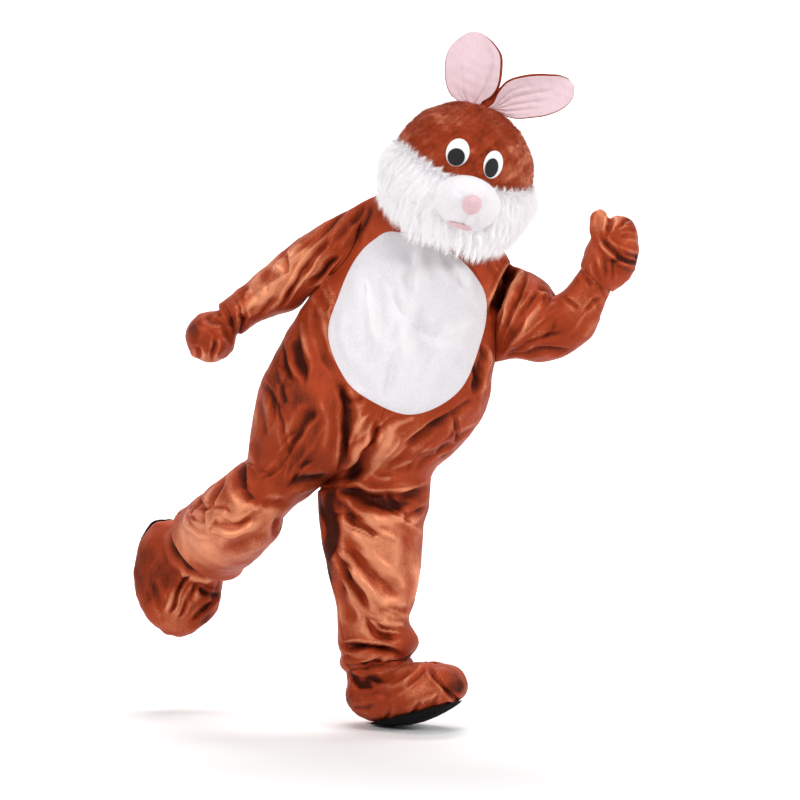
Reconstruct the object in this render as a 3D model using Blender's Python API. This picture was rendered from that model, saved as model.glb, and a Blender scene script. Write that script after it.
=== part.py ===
"""Rabbit costume for a grown-up wearer: a velour jumpsuit with a white tummy, two mitts, two padded
boots and a plush head, all filled out in the pose of someone striding and waving.

The frame's origin is the middle of the jumpsuit's neckline, where the wearer's neck and shoulders
carry it. +X is the wearer's left, -Y is the front and +Z is up. Sizes are in centimetres, and each
solid is brought to metres when its mesh is made.
"""

from collections import namedtuple

import bmesh
import bpy
import numpy as np
from mathutils import Matrix

METRES = 0.01
VELOUR = 0.25  # thickness of the pile fabric
SEAM = 0.03  # gap between two sewn pieces
FOAM = 0.8  # foam-backed plush of the head
GRID = 4.4  # length of a cell of the cloth's grid
COLUMNS = 8  # cells across a front or back panel


# A torso section is an ellipse: its centre, half width, depth to the front and to the back, how far
# it leans to the wearer's left (roll) and forwards (pitch), and how far its centre front is turned.
Torso = namedtuple("Torso", "x y z wide front back roll pitch turn")
TORSO = (
    Torso(1.2, 1.0, 5.0, 9.5, 8.0, 8.0, 24, 14, 0),  # neckline
    Torso(-1.0, 2.0, 0.3, 19.8, 9.5, 9.5, 27, 12, 0),  # shoulder tips
    Torso(-6.0, 3.5, -12.5, 23.0, 14.0, 12.5, 23, 10, 3),  # middle of the armholes
    Torso(-11.5, 5.5, -25.5, 26.0, 18.0, 15.0, 21, 8, 5),  # underarms
    Torso(-18.7, 7.5, -42.0, 29.8, 21.0, 16.5, 8, 5, 7),  # waist
    Torso(-21.8, 8.5, -50.5, 29.4, 21.0, 17.5, 3, 3, 8),  # belly
    Torso(-25.2, 9.5, -58.5, 27.3, 19.0, 18.0, 0, 0, 9),  # hips
)
SHOULDER, UNDERARM, HIPS = 1, 3, 6  # rows of TORSO
CROTCH = np.array([-33.3, 10.0, -67.5])
CROTCH_SHARE = 0.25  # share of the way round within which the centre lines bend under the crotch
CROTCH_SLOPE = -0.25  # how steeply they arrive there

# A leg section is an ellipse square to the leg: its centre, half width and half depth, and how far
# its seams are turned about the leg.
Leg = namedtuple("Leg", "x y z wide deep turn")
STANDING_SIDE = np.array([-3.6, 10.0, -64.5])  # where the leg's top reaches the outside
STANDING_OUT = np.array([1.0, 0, 0])
STANDING_LEG = (
    Leg(-19.3, 9.5, -71.0, 14.9, 14.5, 5),
    Leg(-19.7, 8.5, -78.0, 13.8, 14.0, 10),
    Leg(-19.1, 8.0, -88.0, 12.6, 12.8, 18),
    Leg(-18.8, 9.0, -97.0, 10.7, 11.5, 26),
    Leg(-19.2, 10.0, -104.0, 9.7, 10.5, 32),
    Leg(-17.9, 10.0, -109.5, 10.7, 11.2, 34),
    Leg(-18.7, 10.0, -113.0, 9.1, 9.6, 36),
    Leg(-18.2, 9.5, -115.7, 8.5, 8.8, 36),
)
LIFTED_SIDE = np.array([-53.4, 10.0, -60.6])
LIFTED_OUT = np.array([-0.75, 0, 0.65])
LIFTED_LEG = (
    Leg(-48.9, 7.0, -68.4, 9.2, 12.5, 0),
    Leg(-52.7, 7.5, -72.6, 9.9, 11.5, 0),
    Leg(-57.6, 15.0, -77.6, 11.2, 11.0, 0),
    Leg(-62.3, 24.5, -80.8, 11.0, 10.6, 0),
    Leg(-67.0, 33.0, -83.8, 10.4, 10.2, 0),
)
HIP_DEPTH = 15.0  # half depth of a leg's top, level with the crotch

# A sleeve section is an ellipse across the arm, with its half height in the plane of the body, and
# how far its top leans back from square to the arm.
Sleeve = namedtuple("Sleeve", "x y z high deep lean")
LOWERED_ARM = (  # the wearer's right
    Sleeve(-37.8, 5.0, -10.2, 9.2, 8.8, 34),
    Sleeve(-43.6, 7.0, -14.4, 7.2, 7.4, 12),
    Sleeve(-48.0, 8.5, -16.9, 6.0, 6.4, 4),
    Sleeve(-52.4, 9.5, -19.5, 5.2, 5.6, 0),
    Sleeve(-57.3, 11.0, -22.9, 5.0, 5.2, 0),
)
RAISED_ARM = (  # the wearer's left
    Sleeve(21.8, 2.5, -23.2, 11.0, 9.5, 0),
    Sleeve(27.6, 0.5, -25.2, 9.0, 8.6, 0),
    Sleeve(32.4, -1.5, -23.2, 7.3, 7.6, 0),
    Sleeve(35.4, -3.5, -18.6, 5.7, 6.2, 0),
    Sleeve(38.0, -5.0, -14.0, 4.8, 5.0, 0),
    Sleeve(40.3, -6.2, -10.0, 4.5, 4.6, 0),
)
ARMHOLE = 0.15  # half width of an armhole, as a share of the way from centre front to centre back
ZIP = 0.011  # half width of the zip, as the same share
NECK_TO_TIP = 0.7  # how far down from the neckline to the shoulder tips the zip's slider stands

# A fold is a soft trough (or a ridge, if its depth is negative) along a line on one piece, seen from
# the front or the back: both ends, half width and depth.
Fold = namedtuple("Fold", "piece face x0 z0 x1 z1 wide deep")
FOLDS = (
    Fold("body", "front", -30.2, -33.9, -27.0, -64.0, 2.2, 2.4),  # hip crease of the lifted leg
    Fold("body", "front", -35.0, -32.0, -34.0, -60.0, 2.6, -1.2),
    Fold("body", "front", -31.0, -68.0, -6.0, -72.0, 2.0, 2.6),  # groin of the standing leg
    Fold("body", "front", -29.0, -67.0, -14.5, -76.8, 2.0, -1.0),
    Fold("body", "front", -33.4, -47.2, -38.7, -53.0, 2.2, 1.2),
    Fold("body", "front", 16.5, -10.0, 11.0, -24.0, 2.0, 2.0),  # front of the raised arm
    Fold("body", "front", -38.0, -24.0, -36.5, -37.0, 2.0, 1.2),
    Fold("body", "front", -45.0, -37.0, -43.0, -48.0, 2.2, 1.2),
    Fold("body", "front", -28.0, -80.0, -12.0, -95.5, 2.2, 1.5),
    Fold("body", "front", -29.0, -84.0, -21.0, -102.0, 2.0, 1.3),
    Fold("body", "front", -28.0, -106.0, -11.5, -106.5, 1.6, 1.2),
    Fold("body", "front", -28.0, -111.0, -13.0, -112.0, 1.5, 1.0),
    Fold("body", "front", -53.0, -61.5, -48.5, -70.0, 1.8, 1.6),  # knee of the lifted leg
    Fold("body", "front", -63.0, -69.0, -57.0, -80.0, 2.0, 1.2),
    Fold("body", "back", -8.0, -8.0, -20.0, -38.0, 2.6, 1.6),
    Fold("body", "back", 6.0, -20.0, -6.0, -46.0, 2.6, 1.4),
    Fold("body", "back", -34.0, -24.0, -36.0, -52.0, 2.6, 1.5),
    Fold("body", "back", -46.0, -58.0, -8.0, -66.0, 2.6, 2.0),
    Fold("body", "back", -30.0, -74.0, -15.0, -90.0, 2.4, 1.6),
    Fold("body", "back", -28.0, -108.0, -11.0, -109.0, 1.7, 1.2),
    Fold("body", "back", -56.0, -72.0, -62.0, -86.0, 2.2, 1.4),
    Fold("raised sleeve", "front", 21.0, -18.8, 14.0, -32.3, 1.6, 1.6),
    Fold("raised sleeve", "front", 33.5, -28.0, 27.5, -19.5, 1.6, 1.4),
    Fold("raised sleeve", "back", 33.0, -28.0, 18.0, -20.0, 1.6, 1.4),
)

TUMMY = (  # the tummy's outline, as x and z, clockwise from the top
    (-13.0, -1.2), (0.5, -6.2), (8.6, -14.6), (10.2, -22.0), (8.2, -31.0), (4.2, -40.6), (-2.5, -46.2),
    (-10.5, -48.2), (-19.0, -45.0), (-26.0, -39.4), (-30.6, -28.0), (-28.0, -17.6), (-24.0, -8.6),
    (-19.0, -3.2),
)
TUMMY_POINTS = 56  # points round the tummy's edge
TUMMY_DEPTH = (-40.0, 12.0)  # from in front of the belly to inside it
PLUSH = 0.35  # how far the tummy's outside stands off the fabric beneath it

# A pod is a soft bag along a path, through sections that are its centre, half width and half height.
Pod = namedtuple("Pod", "x y z wide high")
MITT_WALL, BOOT_WALL = 0.3, 1.0
MOUTH = 2.0  # how far a hollow runs out past its open end
MITT_CELL, THUMB_CELL, BOOT_CELL = 3.4, 2.2, 4.2  # length of a pod's cells
MITT_SIDES, THUMB_SIDES, BOOT_SIDES, TROUSER_SIDES = 14, 8, 16, 24  # cells round a pod
LOWERED_MITT = (
    Pod(-55.6, 10.7, -22.0, 4.0, 4.1),
    Pod(-58.2, 11.1, -23.8, 4.2, 4.2),
    Pod(-61.2, 11.5, -26.4, 6.6, 6.2),
    Pod(-64.2, 11.5, -29.2, 6.4, 6.2),
    Pod(-66.4, 11.3, -31.3, 4.5, 4.6),
    Pod(-67.9, 11.0, -32.6, 0.0, 0.0),
)
LOWERED_THUMB = (
    Pod(-61.0, 9.0, -27.0, 2.0, 2.0),
    Pod(-59.6, 7.5, -29.6, 2.3, 2.3),
    Pod(-58.8, 7.0, -32.2, 0.0, 0.0),
)
RAISED_MITT = (
    Pod(38.5, -5.5, -13.4, 5.4, 5.6),
    Pod(41.2, -6.5, -9.9, 6.8, 6.4),
    Pod(42.8, -7.5, -5.8, 6.7, 6.0),
    Pod(43.7, -8.3, -1.8, 4.9, 4.8),
    Pod(44.2, -8.8, 0.8, 3.1, 3.4),
    Pod(44.5, -9.0, 2.1, 0.0, 0.0),
)
RAISED_THUMB = (
    Pod(41.0, -8.0, -5.5, 2.9, 2.9),
    Pod(39.8, -9.0, -1.6, 2.8, 2.9),
    Pod(39.6, -9.5, 1.6, 2.2, 2.3),
    Pod(39.9, -9.6, 3.8, 0.0, 0.0),
)
LOWERED_ACROSS = np.array([0.65, 0, -0.75])  # the way that a mitt or a foot is wide
RAISED_ACROSS = np.array([0.9, 0, -0.4])
STANDING_BOOT = (  # heel to toe
    Pod(-25.6, 11.5, -122.4, 0.0, 0.0),
    Pod(-23.4, 10.2, -122.2, 6.4, 4.8),
    Pod(-18.0, 7.2, -122.9, 9.2, 6.6),
    Pod(-11.0, 2.8, -121.9, 10.6, 7.2),
    Pod(-4.5, -1.2, -119.4, 10.6, 7.0),
    Pod(0.5, -4.4, -118.2, 8.2, 5.0),
    Pod(2.8, -5.9, -117.4, 4.6, 3.0),
    Pod(3.6, -6.4, -117.1, 0.0, 0.0),
)
STANDING_COLLAR = (  # from inside the boot to inside the trouser leg
    Pod(-18.6, 9.5, -122.0, 7.4, 7.4),
    Pod(-18.8, 9.9, -113.0, 7.4, 7.6),
)
TROUSER_END = (  # the space of the trouser leg that rests on the instep
    Pod(-18.4, 10.0, -107.0, 11.2, 11.8),
    Pod(-18.7, 10.0, -113.0, 9.6, 10.1),
    Pod(-18.1, 9.4, -116.6, 9.3, 9.6),
)
STANDING_SOLE = (np.array([-11.0, 2.8, -127.0]), np.array([-0.24, 0.14, 0.96]))  # a point and up
LIFTED_BOOT = (
    Pod(-71.0, 46.5, -80.5, 0.0, 0.0),
    Pod(-71.5, 45.5, -82.5, 6.0, 5.0),
    Pod(-73.0, 43.5, -87.0, 9.6, 8.4),
    Pod(-75.0, 41.0, -94.0, 11.2, 8.8),
    Pod(-76.3, 39.0, -101.0, 10.4, 7.4),
    Pod(-76.3, 37.6, -106.0, 7.6, 5.2),
    Pod(-76.2, 37.0, -108.4, 4.4, 3.2),
    Pod(-76.2, 36.8, -109.2, 0.0, 0.0),
)
LIFTED_COLLAR = (
    Pod(-72.5, 41.5, -87.5, 8.4, 8.4),
    Pod(-65.6, 30.8, -83.0, 8.6, 8.4),
)
LIFTED_SOLE = (np.array([-76.5, 47.0, -92.0]), np.array([0.3, -0.93, -0.2]))
SOLE = 0.8  # thickness of a sole
BLOCK = 60.0  # size of a block that reaches past a whole boot
STANDING_ACROSS = np.array([0.45, 0.88, 0.0])
LIFTED_ACROSS = np.array([0.95, 0.3, 0.0])

# The head's sizes are in its own frame, whose +X is the head's left and -Y its face. A table gives a
# height, or a length, for each azimuth in degrees from the middle of the face.
HEAD = np.array([3.0, -4.0, 12.4])
HEAD_ROLL, HEAD_TURN = 18.0, 9.0
SKULL = np.array([18.6, 17.8, 18.1])  # half width, half depth and half height of the plush head
SKULL_RISE = 2.0  # its middle above the head's own origin
FUR_LINE = (
    (0, -2.0), (25, -1.2), (45, 0.6), (70, 3.4), (90, 4.6), (106, 2.6), (120, -1.6), (136, -4.0), (180, -4.0)
)
FUR_END = 114.0  # how far round each side the ruff reaches
FUR_LOW = ((0, -10.5), (40, -10.5), (75, -8.5), (114, -5.0))
FUR_DROP = ((0, 7.0), (35, 6.5), (55, 4.5), (80, 1.5), (114, 0.0))
RUFF_GAP = 0.1  # between the ruff and the crown
FUR = 3.0  # how far the fur's tips stand off the head
FUR_EDGE = 0.2  # and at the ruff's upper edge and ends
FUR_RISE = 0.22  # share of its height within which it thickens from its upper edge
FUR_TAPER = 16  # degrees within which the ruff thins towards its ends
MUZZLE_HOLE = (9.0, -4.0)  # from in front of the face to inside it
MUZZLE = (1.3, -7.2, 8.9, 7.3)  # its middle, across and up, with its half width and height
MUZZLE_EDGE, MUZZLE_BULGE = 0.4, 6.6  # how far its rim and its middle stand off the face

# A pad is an oval on the face or on the muzzle: its middle across and up, its half width and height,
# where its back and its rim stand off what carries it, and how far its middle is domed.
Pad = namedtuple("Pad", "name on x z wide high under over dome")
PADS = (
    Pad("nose", "muzzle", 1.9, -7.1, 2.45, 2.4, 0.03, 0.30, 2.4),
    Pad("mouth", "muzzle", 2.3, -13.1, 3.3, 0.9, 0.15, 0.50, 0.3),
    Pad("eye_white_right", "face", -4.9, 4.7, 3.2, 3.75, 0.07, 0.35, 0.0),
    Pad("eye_white_left", "face", 4.6, 4.7, 2.9, 3.75, 0.07, 0.35, 0.0),
    Pad("pupil_right", "face", -4.9, 3.4, 2.25, 2.4, 0.45, 0.75, 0.0),
    Pad("pupil_left", "face", 4.4, 3.7, 1.7, 2.5, 0.45, 0.75, 0.0),
)

# An ear section lies across the ear: its middle, and its half width.
Ear = namedtuple("Ear", "x y z wide")
UPRIGHT_EAR = (  # on the wearer's right, from inside the crown to its tip
    Ear(6.4, -3.3, 30.4, 1.8),
    Ear(6.3, -3.5, 32.7, 2.6),
    Ear(6.2, -3.8, 34.4, 5.0),
    Ear(6.4, -4.1, 37.2, 6.5),
    Ear(6.6, -4.3, 41.6, 7.0),
    Ear(6.9, -4.2, 45.2, 6.5),
    Ear(7.0, -4.0, 48.0, 4.7),
    Ear(7.3, -3.8, 50.0, 2.5),
    Ear(7.4, -3.6, 50.9, 0.7),
)
FLOPPED_EAR = (
    Ear(11.0, -3.7, 30.3, 0.9),
    Ear(12.7, -4.0, 31.3, 1.2),
    Ear(14.6, -4.6, 31.9, 3.1),
    Ear(17.2, -5.4, 32.9, 4.7),
    Ear(20.8, -6.2, 33.5, 5.1),
    Ear(24.7, -6.8, 33.9, 5.0),
    Ear(28.1, -7.0, 34.5, 4.3),
    Ear(30.7, -7.0, 35.3, 2.7),
    Ear(31.9, -7.0, 35.7, 0.8),
)
EAR_LAYER = 0.35  # thickness of each of an ear's two layers
EAR_CUP = 1.4  # how far an ear's rims curl forwards where it is widest
EAR_RIM = 0.25  # how far the brown back shows round the pink front
EAR_WIDEST = 7.0

SLIDER = (0.9, 1.2, 0.35)  # width, height and thickness
SLIDER_LIFT = 0.12  # how far it stands off the tape
PULL = (0.6, 2.6, 0.15)
PULL_HINGE = 0.98  # where its hinge lies, as a share of its height from its lower end
HINGE_RISE = 0.3  # its hinge above the slider's middle

Paint = namedtuple("Paint", "red green blue roughness")
PAINTS = {  # by the start of a node's name
    "tummy": Paint(0.86, 0.84, 0.86, 0.9),
    "zip_tape": Paint(0.22, 0.06, 0.02, 0.8),
    "zip": Paint(0.30, 0.22, 0.12, 0.4),
    "sole": Paint(0.01, 0.01, 0.01, 0.7),
    "ruff": Paint(0.93, 0.93, 0.94, 0.9),
    "muzzle": Paint(0.90, 0.88, 0.89, 0.9),
    "nose": Paint(0.88, 0.58, 0.62, 0.8),
    "mouth": Paint(0.80, 0.48, 0.52, 0.8),
    "eye_white": Paint(0.90, 0.90, 0.90, 0.8),
    "pupil": Paint(0.01, 0.01, 0.01, 0.5),
    "ear_front": Paint(0.86, 0.66, 0.68, 0.8),
    "": Paint(0.38, 0.07, 0.02, 0.55),  # all the rest is brown velour
}
METALS = ("zip_slider", "zip_pull")
SHARP = 50  # degrees between two faces past which their edge is sharp


def unit(v):
    v = np.asarray(v, float)
    return v / np.maximum(np.linalg.norm(v, axis=-1, keepdims=True), 1e-9)


def smooth(x):
    """0 below 0, 1 above 1, and an even slope between."""
    x = np.clip(x, 0, 1)
    return x * x * (3 - 2 * x)


def has_area(tri):
    """Which triangles have three corners that differ."""
    return (tri[:, 0] != tri[:, 1]) & (tri[:, 1] != tri[:, 2]) & (tri[:, 0] != tri[:, 2])


def leaning(roll, pitch):
    """The side, front and up directions of something that leans to the wearer's left and forwards."""
    r, p = np.radians([roll, pitch])
    side = np.array([np.cos(r), 0, -np.sin(r)])
    upright = np.array([np.sin(r), 0, np.cos(r)])
    ahead = np.array([0, -1.0, 0])
    return side, np.cos(p) * ahead - np.sin(p) * upright, np.cos(p) * upright + np.sin(p) * ahead


def torso_section(s, angle):
    """A torso section at angles, in degrees, from the centre front towards the wearer's left."""
    side, front, _ = leaning(s.roll, s.pitch)
    a = np.radians(angle + s.turn)
    depth = np.where(np.cos(a) > 0, s.front, s.back)
    ring = np.outer(s.wide * np.sin(a), side) + np.outer(depth * np.cos(a), front)
    return np.array([s.x, s.y, s.z]) + ring


def square_frame(centres, outward, sign):
    """For each centre on a path, two directions square to the path: outward as near as can be, and
    the one a quarter turn round from it, towards the front."""
    along = unit(np.gradient(centres, axis=0))
    out = unit(outward - (along @ outward)[:, None] * along)
    return out, sign * np.cross(along, out)


class Limb:
    """One half of the jumpsuit, from the neckline to an ankle: t runs from the centre front (0) over
    the side (0.5) to the centre back (1), and below the crotch from the inseam round to the inseam."""

    def __init__(self, sign, side_point, outward, legs):
        self.sign = sign
        centres = np.array([[s.x, s.y, s.z] for s in legs])
        top = (CROTCH + side_point) / 2
        self.centres = np.vstack([top, centres])
        self.out, self.front = square_frame(self.centres, outward, sign)
        self.out[0] = unit(side_point - CROTCH)
        self.front[0] = np.array([0, -1.0, 0])
        self.wide = [np.linalg.norm(side_point - CROTCH) / 2] + [s.wide for s in legs]
        self.deep = [HIP_DEPTH] + [s.deep for s in legs]
        self.turn = [0] + [s.turn for s in legs]
        sample = self.keys(np.linspace(0, 1, 13))
        self.spans = np.linalg.norm(np.diff(sample, axis=0), axis=2).mean(1)

    def match(self, other):
        """Makes both halves' spans one down to the crotch, so that their centre lines are one."""
        mean = (self.spans[: len(TORSO)] + other.spans[: len(TORSO)]) / 2
        for limb in (self, other):
            limb.spans[: len(TORSO)] = mean
            limb.level = np.concatenate([[0], np.cumsum(limb.spans)])

    def keys(self, t):
        """The key sections at t, one row for each section."""
        rows = [torso_section(s, self.sign * 180 * t) for s in TORSO]
        for i, centre in enumerate(self.centres):
            a = 2 * np.pi * t + np.radians(self.turn[i])
            ring = -np.outer(self.wide[i] * np.cos(a), self.out[i])
            rows.append(centre + ring + np.outer(self.deep[i] * np.sin(a), self.front[i]))
        return np.array(rows)

    def points(self, row, t):
        """Points at (row, t), where a whole row is a key section and the rest lie on smooth curves
        through them. At the crotch the centre lines run level, so that both halves meet there."""
        keys = self.keys(t)
        spans = self.spans[:, None, None]
        slope = np.empty_like(keys)
        slope[1:-1] = (keys[2:] - keys[:-2]) / (spans[1:] + spans[:-1])
        slope[0] = (keys[1] - keys[0]) / spans[0]
        slope[-1] = (keys[-1] - keys[-2]) / spans[-1]
        arriving, leaving = slope.copy(), slope.copy()
        c = len(TORSO)
        down = unit(self.centres[1] - self.centres[0])
        for away, back in ((t, 1.0), (1 - t, -1.0)):
            near = smooth(1 - away / CROTCH_SHARE)[:, None]
            arriving[c] = arriving[c] * (1 - near) + near * unit([0, back, CROTCH_SLOPE])
            leaving[c] = leaving[c] * (1 - near) + near * down
        k = np.minimum(row.astype(int), len(keys) - 2)
        f = (row - k)[:, None]
        n = np.arange(len(t))
        length = self.spans[k][:, None]
        return (
            (1 + 2 * f) * (1 - f) ** 2 * keys[k, n]
            + f * (1 - f) ** 2 * length * leaving[k, n]
            + f**2 * (3 - 2 * f) * keys[k + 1, n]
            - f**2 * (1 - f) * length * arriving[k + 1, n]
        )

    def rows(self, cell):
        """Row numbers about a cell apart, with every key section among them."""
        found = [np.array([0.0])]
        for k, span in enumerate(self.spans):
            count = max(1, int(round(span / cell)))
            found.append(k + np.arange(1, count + 1) / count)
        return np.concatenate(found)

    def armhole(self, row):
        """How far the armhole's edges stand from the side line at each row."""
        level = np.interp(row, np.arange(len(self.level)), self.level)
        q = (level - self.level[SHOULDER]) / (self.level[UNDERARM] - self.level[SHOULDER])
        return ARMHOLE * np.sin(np.pi * np.clip(q, 0, 1)) ** 0.65

    def panel(self, rows, near, far, columns):
        """A grid of points between two edges, each given as t at every row."""
        t = near[:, None] + (far - near)[:, None] * np.linspace(0, 1, columns + 1)
        r = np.broadcast_to(rows[:, None], t.shape)
        return self.points(r.ravel(), t.ravel()).reshape(*t.shape, 3)


def sleeve_grid(limb, rows, arm, cell):
    """A sleeve's grid: its first ring is the armhole's own edge, from the shoulder tip over the front
    to the underarm and back, and the others are the arm's sections."""
    inside = (rows >= SHOULDER - 1e-9) & (rows <= UNDERARM + 1e-9)
    edge_rows = rows[inside]
    hole = limb.armhole(edge_rows)
    front = limb.points(edge_rows, 0.5 - hole)
    back = limb.points(edge_rows, 0.5 + hole)
    ring = np.vstack([front, back[-2:0:-1]])
    level = np.interp(edge_rows, np.arange(len(limb.level)), limb.level)
    share = np.pi * (level - level[0]) / (level[-1] - level[0])
    around = np.concatenate([share, 2 * np.pi - share[-2:0:-1]])
    centres = np.array([[s.x, s.y, s.z] for s in arm])
    path = np.vstack([ring.mean(0), centres])
    along = unit(np.gradient(path, axis=0))
    up = np.stack([-along[:, 2] * limb.sign, np.zeros(len(path)), along[:, 0] * limb.sign], axis=1)
    up = unit(up - (up * along).sum(1)[:, None] * along)
    ahead = np.cross(along, up)
    ahead *= np.where(ahead[:, 1] > 0, -1, 1)[:, None]
    keys = [ring]
    for s, centre, u, a, on in zip(arm, centres, up[1:], ahead[1:], along[1:]):
        u = np.cos(np.radians(s.lean)) * u - np.sin(np.radians(s.lean)) * on
        keys.append(centre + np.outer(s.high * np.cos(around), u) + np.outer(s.deep * np.sin(around), a))
    return loft(np.array(keys), cell)


def loft(keys, cell):
    """Rings about a cell apart, on smooth curves through the key rings."""
    spans = np.linalg.norm(np.diff(keys, axis=0), axis=2).mean(1)
    slope = np.empty_like(keys)
    slope[1:-1] = (keys[2:] - keys[:-2]) / (spans[1:] + spans[:-1])[:, None, None]
    slope[0] = (keys[1] - keys[0]) / spans[0]
    slope[-1] = (keys[-1] - keys[-2]) / spans[-1]
    rings = [keys[0]]
    for k, span in enumerate(spans):
        count = max(1, int(round(span / cell)))
        for f in np.arange(1, count + 1) / count:
            rings.append(
                (1 + 2 * f) * (1 - f) ** 2 * keys[k]
                + f * (1 - f) ** 2 * span * slope[k]
                + f**2 * (3 - 2 * f) * keys[k + 1]
                - f**2 * (1 - f) * span * slope[k + 1]
            )
    return np.array(rings)


class Cloth:
    """Sewn pieces that share their seam lines. Each is a grid of points. They are welded into one
    surface, so that two neighbours get one wall direction at their seam, and then cut apart."""

    def __init__(self):
        self.points, self.faces, self.owner, self.group = [], [], [], []

    def add(self, name, grid, group, turned, closed=False):
        """Takes a grid whose faces look outwards or, if turned, inwards."""
        rows, columns = grid.shape[:2]
        start = sum(len(p) for p in self.points)
        index = start + np.arange(rows * columns).reshape(rows, columns)
        if closed:
            index = np.hstack([index, index[:, :1]])
        a, b, c, d = index[:-1, :-1], index[:-1, 1:], index[1:, 1:], index[1:, :-1]
        self.points.append(grid.reshape(-1, 3))
        quads = np.stack([d, c, b, a] if turned else [a, b, c, d], axis=-1).reshape(-1, 4)
        self.faces.append(quads)
        self.owner += [name] * len(quads)
        self.group.append(np.array([group] * rows * columns))

    def weld(self):
        """Makes the points one set and splits each cell on its shorter diagonal."""
        points = np.vstack(self.points)
        _, first, index = np.unique(np.round(points, 4), axis=0, return_index=True, return_inverse=True)
        index = index.reshape(-1)
        groups = np.concatenate(self.group)
        self.groups = {g: np.isin(np.arange(len(first)), index[groups == g]) for g in np.unique(groups)}
        self.p = points[first]
        quads = index[np.vstack(self.faces)]
        p = self.p[quads]
        short = np.linalg.norm(p[:, 0] - p[:, 2], axis=1) <= np.linalg.norm(p[:, 1] - p[:, 3], axis=1)
        one = np.where(short[:, None], quads[:, [0, 1, 2]], quads[:, [0, 1, 3]])
        two = np.where(short[:, None], quads[:, [0, 2, 3]], quads[:, [1, 2, 3]])
        self.tri = np.vstack([one, two])
        self.name = np.array(self.owner + self.owner)
        whole = has_area(self.tri)
        self.tri, self.name = self.tri[whole], self.name[whole]
        self.normals()

    def normals(self):
        a, b, c = (self.p[self.tri[:, i]] for i in range(3))
        face = np.cross(b - a, c - a)
        self.n = np.zeros_like(self.p)
        for i in range(3):
            np.add.at(self.n, self.tri[:, i], face)
        self.n = unit(self.n)

    def crease(self, folds):
        """Moves each point in or out by the folds that it lies on."""
        shift = np.zeros(len(self.p))
        for f in folds:
            start, end = np.array([f.x0, f.z0]), np.array([f.x1, f.z1])
            flat = self.p[:, [0, 2]]
            line = end - start
            q = np.clip((flat - start) @ line / (line @ line), 0, 1)
            away = np.linalg.norm(flat - start - q[:, None] * line, axis=1)
            facing = self.n[:, 1] * (-1 if f.face == "front" else 1)
            share = np.exp(-((away / f.wide) ** 2)) * (1 - (2 * q - 1) ** 4) * smooth(facing * 2)
            shift -= f.deep * share * self.groups[f.piece]
        self.p = self.p + shift[:, None] * self.n
        self.normals()

    def solid(self, name, tri, inner, outer, gap=SEAM / 2):
        """The wall of the cloth over some triangles, from inner to outer along each point's wall
        direction, taken back from its own edges by the gap."""
        edges = np.vstack([tri[:, [0, 1]], tri[:, [1, 2]], tri[:, [2, 0]]])
        third = np.concatenate([tri[:, 2], tri[:, 0], tri[:, 1]])
        key = {(a, b) for a, b in edges}
        free = np.array([(b, a) not in key for a, b in edges])
        edges, third = edges[free], third[free]
        along = unit(self.p[edges[:, 1]] - self.p[edges[:, 0]])
        inward = self.p[third] - self.p[edges[:, 0]]
        inward = unit(inward - (inward * along).sum(1)[:, None] * along)
        move = np.zeros_like(self.p)
        np.add.at(move, edges[:, 0], inward)
        np.add.at(move, edges[:, 1], inward)
        base = self.p + gap * unit(move) * (np.linalg.norm(move, axis=1) > 0)[:, None]
        used, local = np.unique(tri, return_inverse=True)
        local = local.reshape(-1, 3)
        place = np.full(len(self.p), -1)
        place[used] = np.arange(len(used))
        count = len(used)
        points = np.vstack([base[used] + outer * self.n[used], base[used] + inner * self.n[used]])
        faces = [tuple(f) for f in local] + [tuple(f[::-1] + count) for f in local]
        for a, b in edges:
            i, j = place[a], place[b]
            if a < b:
                faces += [(j, i, i + count), (j, i + count, j + count)]
            else:
                faces += [(j, i, j + count), (i, i + count, j + count)]
        return make(name, points, faces)



def material(name):
    """A material of the node's own."""
    paint = next(paint for start, paint in PAINTS.items() if name.startswith(start))
    own = bpy.data.materials.new(name)
    own.use_nodes = True
    shader = own.node_tree.nodes["Principled BSDF"]
    shader.inputs["Base Color"].default_value = (*paint[:3], 1)
    shader.inputs["Roughness"].default_value = paint.roughness
    shader.inputs["Metallic"].default_value = float(name in METALS)
    return own


def make(name, points, faces):
    """A mesh object, its points given in centimetres."""
    mesh = bpy.data.meshes.new(name)
    mesh.from_pydata((np.asarray(points) * METRES).tolist(), [], [tuple(int(i) for i in f) for f in faces])
    mesh.update()
    mesh.shade_smooth()
    mesh.set_sharp_from_angle(angle=np.radians(SHARP))
    mesh.materials.append(material(name))
    body = bpy.data.objects.new(name, mesh)
    bpy.context.scene.collection.objects.link(body)
    return body


def body_of(name, sheets):
    """One closed body from grids of points that share their edges, each facing outwards."""
    points = np.vstack([grid.reshape(-1, 3) for grid in sheets])
    quads, start = [], 0
    for grid in sheets:
        rows, columns = grid.shape[:2]
        i = start + np.arange(rows * columns).reshape(rows, columns)
        quads.append(np.stack([i[:-1, :-1], i[:-1, 1:], i[1:, 1:], i[1:, :-1]], axis=-1).reshape(-1, 4))
        start += rows * columns
    _, first, index = np.unique(np.round(points, 4), axis=0, return_index=True, return_inverse=True)
    quads = index.reshape(-1)[np.vstack(quads)]
    tri = np.vstack([quads[:, [0, 1, 2]], quads[:, [0, 2, 3]]])
    return make(name, points[first], tri[has_area(tri)])


def slab(name, outer, inner):
    """The closed body between an outer and an inner grid of the same shape. Seen from outside, rows
    run down and columns to the right. A first row that is one point closes up."""
    walls = [
        outer[:, ::-1],
        inner,
        np.stack([inner[0], outer[0]])[:, ::-1],
        np.stack([outer[-1], inner[-1]])[:, ::-1],
        np.stack([outer[:, 0], inner[:, 0]], axis=1),
        np.stack([inner[:, -1], outer[:, -1]], axis=1),
    ]
    return body_of(name, walls)


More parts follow.
